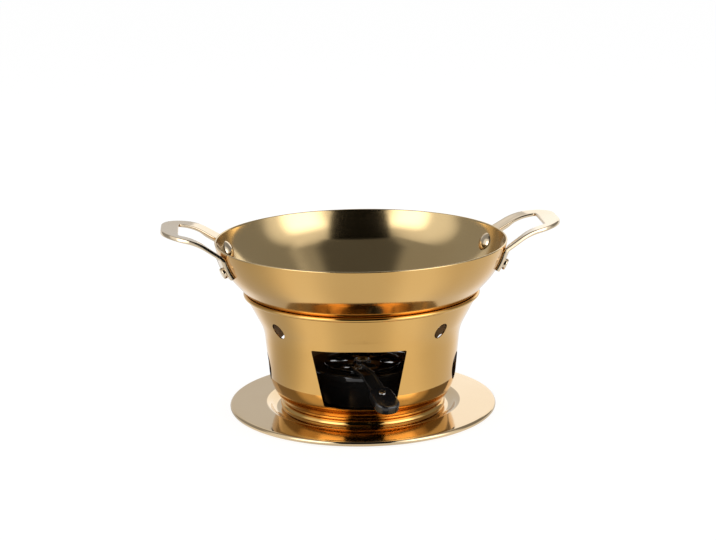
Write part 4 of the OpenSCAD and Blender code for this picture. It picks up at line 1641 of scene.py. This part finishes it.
@dataclass
class Damper:
    """The turning damper plate with its lever and grip. Sizes are in millimetres and degrees."""

    run_clear: float = 0.06
    lever_w: float = 12.0
    lever_h: float = 3.5
    lever_sheet: float = 1.2
    lever_level: float = 2.0
    lever_lean: float = 20.0
    lever_bend_r: float = 6.0
    lever_bend_steps: int = 8
    lever_lip: float = 0.45
    lever_in_grip: float = 15.0
    rivet_d: float = 3.0
    rivet_gap: float = 4.4
    head_gap: float = 0.5
    head_edge: float = 0.2
    plate_round: float = 0.55
    plate_low_edge: float = 0.2
    grip_root_w: float = 18.5
    grip_tip_w: float = 21.0
    grip_t: float = 8.0
    grip_out: float = 13.5
    grip_len: float = 28.0
    grip_tip_r: float = 9.0
    grip_root_r: float = 6.0
    grip_soft: float = 1.9
    pin_d: float = 3.0
    pin_rise: float = 0.66
    pin_in: float = 8.0

    def build(self, burner: Burner, stand: Stand, finishes: Finishes) -> None:
        """Makes the damper's pieces.

        Args:
            burner: The burner that the damper turns on.
            stand: The stand that the lever reaches out of.
            finishes: The materials.
        """
        turn = turned(burner.lever_turn - 90) @ moved(0, -burner.lever_side, 0)
        self.build_plate(burner, finishes)
        self.build_lever(burner, stand, turn, finishes)
        rivet_x = burner.damper_edge_x - burner.lever_lap / 2
        head_z = burner.damper_top + self.lever_sheet + 2 * burner.part_clear
        head_r = (self.rivet_gap - self.head_gap) / 2
        rise = self.rivet_d / 2
        pin = [(0, burner.damper_z), (rise, burner.damper_z), (rise, head_z), (head_r, head_z)]
        pin += domed(head_r, head_z, self.head_edge, rise, 10)
        sides = (-self.rivet_gap / 2, self.rivet_gap / 2)
        pair = [move(revolve(pin, 32), turn @ moved(rivet_x, y, 0)) for y in sides]
        rivets = Piece("lever_rivet_pair", Body.DAMPER, Slot.STEEL, ("lever_rivets",))
        rivets.place(join(pair), [finishes.steel])

    def build_plate(self, burner: Burner, finishes: Finishes) -> None:
        """Makes the damper plate with its ports.

        Args:
            burner: The burner that it lies on.
            finishes: The materials.
        """
        r, low, top = burner.damper_d / 2, burner.damper_z, burner.damper_top
        bore = burner.pivot_d / 2 + self.run_clear
        edge, low_edge = burner.sheet * self.plate_round, self.plate_low_edge
        section = [(bore, low), (r - low_edge, low), (r, low + low_edge)]
        section += arc((r - edge, top - edge), edge, 0, 90, 8)
        section += [(bore, top)]
        bm = cut(revolve(section, 128, closed=True), burner.port_holes(burner.port_azimuth, low))
        soften(bm, burner.hole_round, 2, 60)
        Piece("damper_disc", Body.DAMPER, Slot.ENAMEL, ("damper_plate",)).place(bm, [finishes.enamel])

    def build_lever(self, burner: Burner, stand: Stand, turn: Matrix, finishes: Finishes) -> None:
        """Makes the lever's channel, its grip and the grip's pin.

        Args:
            burner: The burner that the lever lies over.
            stand: The stand that it reaches out of.
            turn: Place of the lever beside the axis.
            finishes: The materials.
        """
        lever_z = burner.damper_top + burner.part_clear
        in_side = burner.lever_side - self.lever_w / 2
        bend_x = math.sqrt((burner.cover_d / 2 + self.lever_level) ** 2 - in_side ** 2)
        reach_x = math.sqrt((stand.drum_d / 2 + self.grip_out) ** 2 - burner.lever_side ** 2)
        end_x = (reach_x - bend_x) / cos(self.lever_lean)
        start_x = end_x - self.grip_len
        w, h, t = self.lever_w / 2, self.lever_h, self.lever_sheet
        lip = t * self.lever_lip
        channel = (
            arc((-w + lip, lip), lip, 180, 270, 3) + arc((w - lip, lip), lip, 270, 360, 3)
            + arc((w - lip, h - lip), lip, 0, 90, 3) + arc((w - t + lip, h - lip), lip, 90, 180, 3)
            + [(w - t, t + lip), (w - t - lip, t), (-w + t + lip, t), (-w + t, t + lip)]
            + arc((-w + t - lip, h - lip), lip, 0, 90, 3) + arc((-w + lip, h - lip), lip, 90, 180, 3)
        )
        soft_r = self.lever_bend_r
        back = soft_r * tan(self.lever_lean / 2)
        path = [(burner.damper_edge_x - burner.lever_lap, lever_z, 0.0), (bend_x - back, lever_z, 0.0)]
        for i in range(1, self.lever_bend_steps + 1):
            a = self.lever_lean * i / self.lever_bend_steps
            path.append((bend_x - back + soft_r * sin(a), lever_z - soft_r * (1 - cos(a)), a))
        lever_end, a = start_x + self.lever_in_grip, self.lever_lean
        path.append((bend_x + lever_end * cos(a), lever_z - lever_end * sin(a), a))
        stations = [
            [turn @ (Vector((r + b * sin(a), y, z + b * cos(a))) * MM) for y, b in channel]
            for r, z, a in path
        ]
        lever = Piece("damper_lever_channel", Body.DAMPER, Slot.ENAMEL, ("damper_lever",))
        lever.place(sweep(stations), [finishes.enamel])
        slope = turn @ moved(bend_x, 0, lever_z) @ turned(self.lever_lean, "Y")
        root_y, tip_y = self.grip_root_w / 2, self.grip_tip_w / 2
        outline = rounded(
            [(start_x, -root_y), (end_x, -tip_y), (end_x, tip_y), (start_x, root_y)],
            [self.grip_root_r, self.grip_tip_r, self.grip_tip_r, self.grip_root_r], 12,
        )
        under, top = (self.lever_h - self.grip_t) / 2, (self.lever_h + self.grip_t) / 2
        grip = soften(plate(outline, self.grip_t), self.grip_soft, 6, 40)
        move(grip, slope @ moved(0, 0, under))
        tab = Piece("lever_grip_tab", Body.DAMPER, Slot.MOULDING, ("lever_grip",))
        tab.place(grip, [finishes.moulding], 50)
        pin_r = self.pin_d / 2
        pin = [(0, under), (pin_r, under), (pin_r, top), (2 * pin_r, top)]
        pin += domed(2 * pin_r, top, self.head_edge, pin_r * self.pin_rise, 10)
        head = move(revolve(pin, 40), slope @ moved(start_x + self.pin_in, 0, 0))
        Piece("grip_pin_head", Body.DAMPER, Slot.STEEL, ("grip_pin",)).place(head, [finishes.steel])


# Camera and studio


@dataclass
class Camera:
    """The photograph's viewpoint. Lengths are in millimetres and angles in degrees."""

    side: float = -2.6581
    distance: float = 1409.5789
    height: float = 456.2758
    pitch: float = 13.5333
    roll: float = 0.7678
    turn: float = 2.2
    lens: float = 88.41
    sensor: float = 36.0
    nearest: float = 50.0
    farthest: float = 50000.0

    def build(self) -> None:
        """Makes the scene's camera."""
        turn = Matrix.Rotation(math.radians(self.turn), 3, "Z")
        ahead_way = turn @ Vector((0, cos(self.pitch), -sin(self.pitch)))
        level_right, level_up = turn @ Vector((1, 0, 0)), turn @ Vector((0, sin(self.pitch), cos(self.pitch)))
        right = level_right * cos(self.roll) - level_up * sin(self.roll)
        up = level_right * sin(self.roll) + level_up * cos(self.roll)
        place = turn @ Vector((self.side, -self.distance, self.height)) * MM
        data = bpy.data.cameras.new("photo_view")
        data.sensor_fit = "HORIZONTAL"
        data.sensor_width = self.sensor
        data.lens = self.lens
        data.clip_start, data.clip_end = self.nearest * MM, self.farthest * MM
        obj = in_scene("photo_view", data)
        axes = Matrix((right, up, -ahead_way)).transposed().to_4x4()
        obj.matrix_world = Matrix.Translation(place) @ axes
        bpy.context.scene.camera = obj


@dataclass(frozen=True)
class Softbox:
    """A soft lamp that looks at the dish and doesn't show itself.

    Attributes:
        name: The lamp's name.
        azimuth: Its direction from the dish, 0 in front and 90 at the right, in degrees.
        elevation: Its height above the table, in degrees.
        distance: Its distance, in metres.
        width: Its width, in metres.
        height: Its height, in metres.
        level: Its brightness, where the background is 1.
    """

    name: str
    azimuth: float
    elevation: float
    distance: float
    width: float
    height: float
    level: float

    def matrix(self) -> Matrix:
        """Place of the lamp, facing the dish.

        Returns:
            The matrix, in metres.
        """
        level_way = Vector((sin(self.azimuth), -cos(self.azimuth), 0)) * cos(self.elevation)
        way = level_way + Vector((0, 0, sin(self.elevation)))
        place = Matrix.Translation(Vector((0, 0, AIM_Z)) + way * self.distance)
        return place @ way.to_track_quat("Z", "Y").to_matrix().to_4x4()

    def build(self) -> None:
        """Makes the lamp."""
        data = bpy.data.lights.new(self.name, "AREA")
        data.shape = "RECTANGLE"
        data.size, data.size_y = self.width, self.height
        data.energy = self.level * math.pi * self.width * self.height
        obj = in_scene(self.name, data)
        obj.matrix_world = self.matrix()
        obj.visible_camera = False
        obj.visible_glossy = False


@dataclass(frozen=True)
class Card(Softbox):
    """A card that only shows in mirror-like surfaces; its level is its brightness there.

    Attributes:
        soft: Share of each half of its width over which it fades out.
        soft_up: Share of each half of its height over which it fades out.
    """

    soft: float = 0.3
    soft_up: float = 0.3

    def fade(self, g: Graph) -> Socket:
        """How much of the card shows.

        Args:
            g: The card's graph.

        Returns:
            1 in the middle of the card, 0 at its edges.
        """
        across, along = self.from_middle(g)
        middle = (across * across).ramp(1.0, (1 - self.soft) ** 2)
        return middle * (along * along).ramp(1.0, (1 - self.soft_up) ** 2)

    def from_middle(self, g: Graph) -> tuple[Socket, Socket]:
        """Place on the card across and along, from -1 to 1.

        Args:
            g: The card's graph.

        Returns:
            The two places.
        """
        split = g.add("ShaderNodeSeparateXYZ", {}, {0: g.out(g.add("ShaderNodeTexCoord", {}, {}), "UV")})
        across, along = (g.out(split, i) * 2.0 - 1.0 for i in range(2))
        return across, along

    def build(self) -> None:
        """Makes the card."""
        bm = bmesh.new()
        bm.loops.layers.uv.new("card")
        bmesh.ops.create_grid(bm, x_segments=1, y_segments=1, size=0.5, calc_uvs=True)
        bmesh.ops.scale(bm, vec=(self.width, self.height, 1), verts=bm.verts)
        move(bm, self.matrix())
        mesh = mesh_of(bm, self.name)
        material, g = new_graph(self.name)
        glow = g.add("ShaderNodeEmission", {}, {"Color": grey(self.level), "Strength": 1.0})
        clear = g.add("ShaderNodeBsdfTransparent", {}, {})
        both = g.add("ShaderNodeMixShader", {}, {0: self.fade(g), 1: g.out(clear), 2: g.out(glow)})
        g.add("ShaderNodeOutputMaterial", {}, {"Surface": g.out(both)})
        mesh.materials.append(material)
        obj = in_scene(self.name, mesh)
        obj.visible_camera = False
        obj.visible_diffuse = False
        obj.visible_shadow = False


@dataclass(frozen=True)
class Halo(Card):
    """A card that fades out from its middle in every direction.

    Attributes:
        full: Up to here it is full; the square of the distance from its middle, 1 at its edges.
        gone: From here it is gone, in the same measure.
    """

    full: float = 0.05
    gone: float = 0.8

    def fade(self, g: Graph) -> Socket:
        """How much of the card shows: 1 in its middle, 0 on a circle inside its edges."""
        across, along = self.from_middle(g)
        return (across * across + along * along).ramp(self.gone, self.full)


@dataclass
class Studio:
    """The pale floor, the white surroundings, the lamps and the cards."""

    ambient: float = 0.45
    floor_size: float = 12.0
    floor_glow: float = 0.86
    floor_white: float = 0.30
    floor_matt: float = 0.80
    # Floor levels that mirrors see: painted shade in front, painted pools of light beside it, painted dimmer
    # sides.
    front_painted_shade: float = 0.75
    pools_painted_light: float = 1.0
    left_mirrored: float = 0.55
    right_mirrored: float = 0.76
    pools_from: float = 0.38
    sides_from: float = 0.55
    sides_full: float = 1.05
    middle_w: float = 0.1

    def build(self) -> None:
        """Makes the studio."""
        scene = bpy.context.scene
        scene.view_settings.view_transform = "Standard"
        self.build_world(scene)
        self.build_floor()
        lamps: list[Softbox] = [
            Softbox("left_softbox", -44, 12, 1.5, 0.85, 0.86, 2.0),
            Softbox("right_softbox", 54, 12, 1.5, 0.85, 0.86, 2.0),
            Softbox("top_softbox", 180, 75, 1.5, 1.2, 0.8, 1.0),
            Card("left_glow", -42, 8, 1.45, 1.11, 2.03, 3.0, 0.8, 0.62),
            Card("right_glow", 55, 9, 1.45, 1.29, 2.03, 3.0, 0.8, 0.62),
            Halo("left_halo", -60, 27, 1.7, 2.66, 2.66, 1.0),
            Halo("right_halo", 60, 27, 1.7, 2.85, 2.85, 1.0),
            Card("front_card", 3.5, 31, 1.25, 1.17, 1.75, 0.003, 0.15, 0.08),
            Card("upper_card", 6, 81, 1.20, 1.20, 0.78, 0.09, 0.3, 0.25),
            Card("ceiling_card", -90, 85, 1.62, 3.47, 3.47, 0.33, 0.39, 0.39),
            Card("left_card", -112, 24, 1.9, 3.19, 2.56, 0.34, 0.65, 0.3),
            Card("right_card", 122, 26, 1.9, 3.42, 2.56, 0.27, 0.62, 0.3),
            Card("back_left_card", -157, 14, 1.9, 1.57, 1.1, 0.67, 0.13, 0.3),
            Card("back_right_card", 160, 14, 1.9, 1.38, 1.1, 1.3, 0.13, 0.3),
        ]
        for lamp in lamps:
            lamp.build()
            log.info("%s in place", lamp.name)

    def seen_plainly(self, g: Graph) -> Socket:
        """Tells what is seen from what only gives light.

        Args:
            g: The graph of the background or the floor.

        Returns:
            1 for what the camera, a mirror or a clear piece sees, else 0.
        """
        path = g.add("ShaderNodeLightPath", {}, {})
        seen = g.out(path, "Is Camera Ray").higher(g.out(path, "Is Glossy Ray"))
        return seen.higher(g.out(path, "Is Transmission Ray"))

    def build_world(self, scene: bpy.types.Scene) -> None:
        """Makes the white surroundings.

        Args:
            scene: The scene.
        """
        world = bpy.data.worlds.new("studio")
        world.use_nodes = True
        g = Graph(world.node_tree)
        dim = g.add("ShaderNodeBackground", {}, {"Color": grey(1.0), "Strength": self.ambient})
        plain = g.add("ShaderNodeBackground", {}, {"Color": grey(1.0), "Strength": 1.0})
        both = g.add("ShaderNodeMixShader", {}, {0: self.seen_plainly(g), 1: g.out(dim), 2: g.out(plain)})
        g.add("ShaderNodeOutputWorld", {}, {"Surface": g.out(both)})
        scene.world = world

    def mirrored(self, g: Graph) -> Socket:
        """What a mirror sees of the floor: painted shade in front, a painted pool of light left and right,
        dimmer painted sides.

        Args:
            g: The floor's graph.

        Returns:
            The shader.
        """
        split = g.add("ShaderNodeSeparateXYZ", {}, {0: g.coords()})
        across, along = (g.out(split, i) for i in range(2))
        aside = across * across * (across * across + along * along + 1e-6) ** -1.0
        # Painted shade in front, painted pools of light beside it and painted dimmer sides.
        front, pools, left, right = (
            g.out(g.add("ShaderNodeEmission", {}, {"Color": grey(level), "Strength": 1.0}))
            for level in (self.front_painted_shade, self.pools_painted_light, self.left_mirrored, self.right_mirrored)
        )
        near = g.add("ShaderNodeMixShader", {}, {0: aside.ramp(0.0, self.pools_from), 1: front, 2: pools})
        right_share = across.ramp(-self.middle_w, self.middle_w)
        sides = g.add("ShaderNodeMixShader", {}, {0: right_share, 1: left, 2: right})
        whole = {0: aside.ramp(self.sides_from, self.sides_full), 1: g.out(near), 2: g.out(sides)}
        return g.out(g.add("ShaderNodeMixShader", {}, whole))

    def build_floor(self) -> None:
        """Makes the pale floor, which keeps the dish's shadow."""
        bm = bmesh.new()
        bmesh.ops.create_grid(bm, x_segments=1, y_segments=1, size=self.floor_size / 2)
        mesh = mesh_of(bm, "studio_floor")
        material, g = new_graph("pale_floor")
        matt = g.add("ShaderNodeBsdfDiffuse", {}, {"Color": grey(self.floor_matt)})
        shaded = g.add("ShaderNodeBsdfDiffuse", {}, {"Color": grey(self.floor_white)})
        glow = g.add("ShaderNodeEmission", {}, {"Color": grey(1.0), "Strength": self.floor_glow})
        lit = g.add("ShaderNodeAddShader", {}, {0: g.out(shaded), 1: g.out(glow)})
        both = g.add("ShaderNodeMixShader", {}, {0: self.seen_plainly(g), 1: g.out(matt), 2: g.out(lit)})
        glossy = g.out(g.add("ShaderNodeLightPath", {}, {}), "Is Glossy Ray")
        whole = g.add("ShaderNodeMixShader", {}, {0: glossy, 1: g.out(both), 2: self.mirrored(g)})
        g.add("ShaderNodeOutputMaterial", {}, {"Surface": g.out(whole)})
        mesh.materials.append(material)
        in_scene("studio_floor", mesh)


def dress_node(name: str, material: bpy.types.Material) -> None:
    """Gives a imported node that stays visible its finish.

    Args:
        name: The node's name.
        material: The finish.
    """
    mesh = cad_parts[name].data
    mesh.materials.clear()
    mesh.materials.append(material)
    log.info("%s keeps its shape", name)


def main() -> None:
    """Builds the camera, the pieces and the studio, in order."""
    logging.basicConfig(level=logging.INFO, format="%(message)s")
    Camera().build()
    finishes = Finishes.make()
    stand, pan, burner = Stand(), Pan(), Burner()
    Tray().build(stand.foot_out_r, finishes)
    stand.build(finishes)
    pan.build(stand, finishes)
    Handles().build(pan, stand, finishes)
    burner.build(finishes)
    Damper().build(burner, stand, finishes)
    dress_node("wick_gauze", finishes.steel)
    Studio().build()


if __name__ == "__main__":
    main()
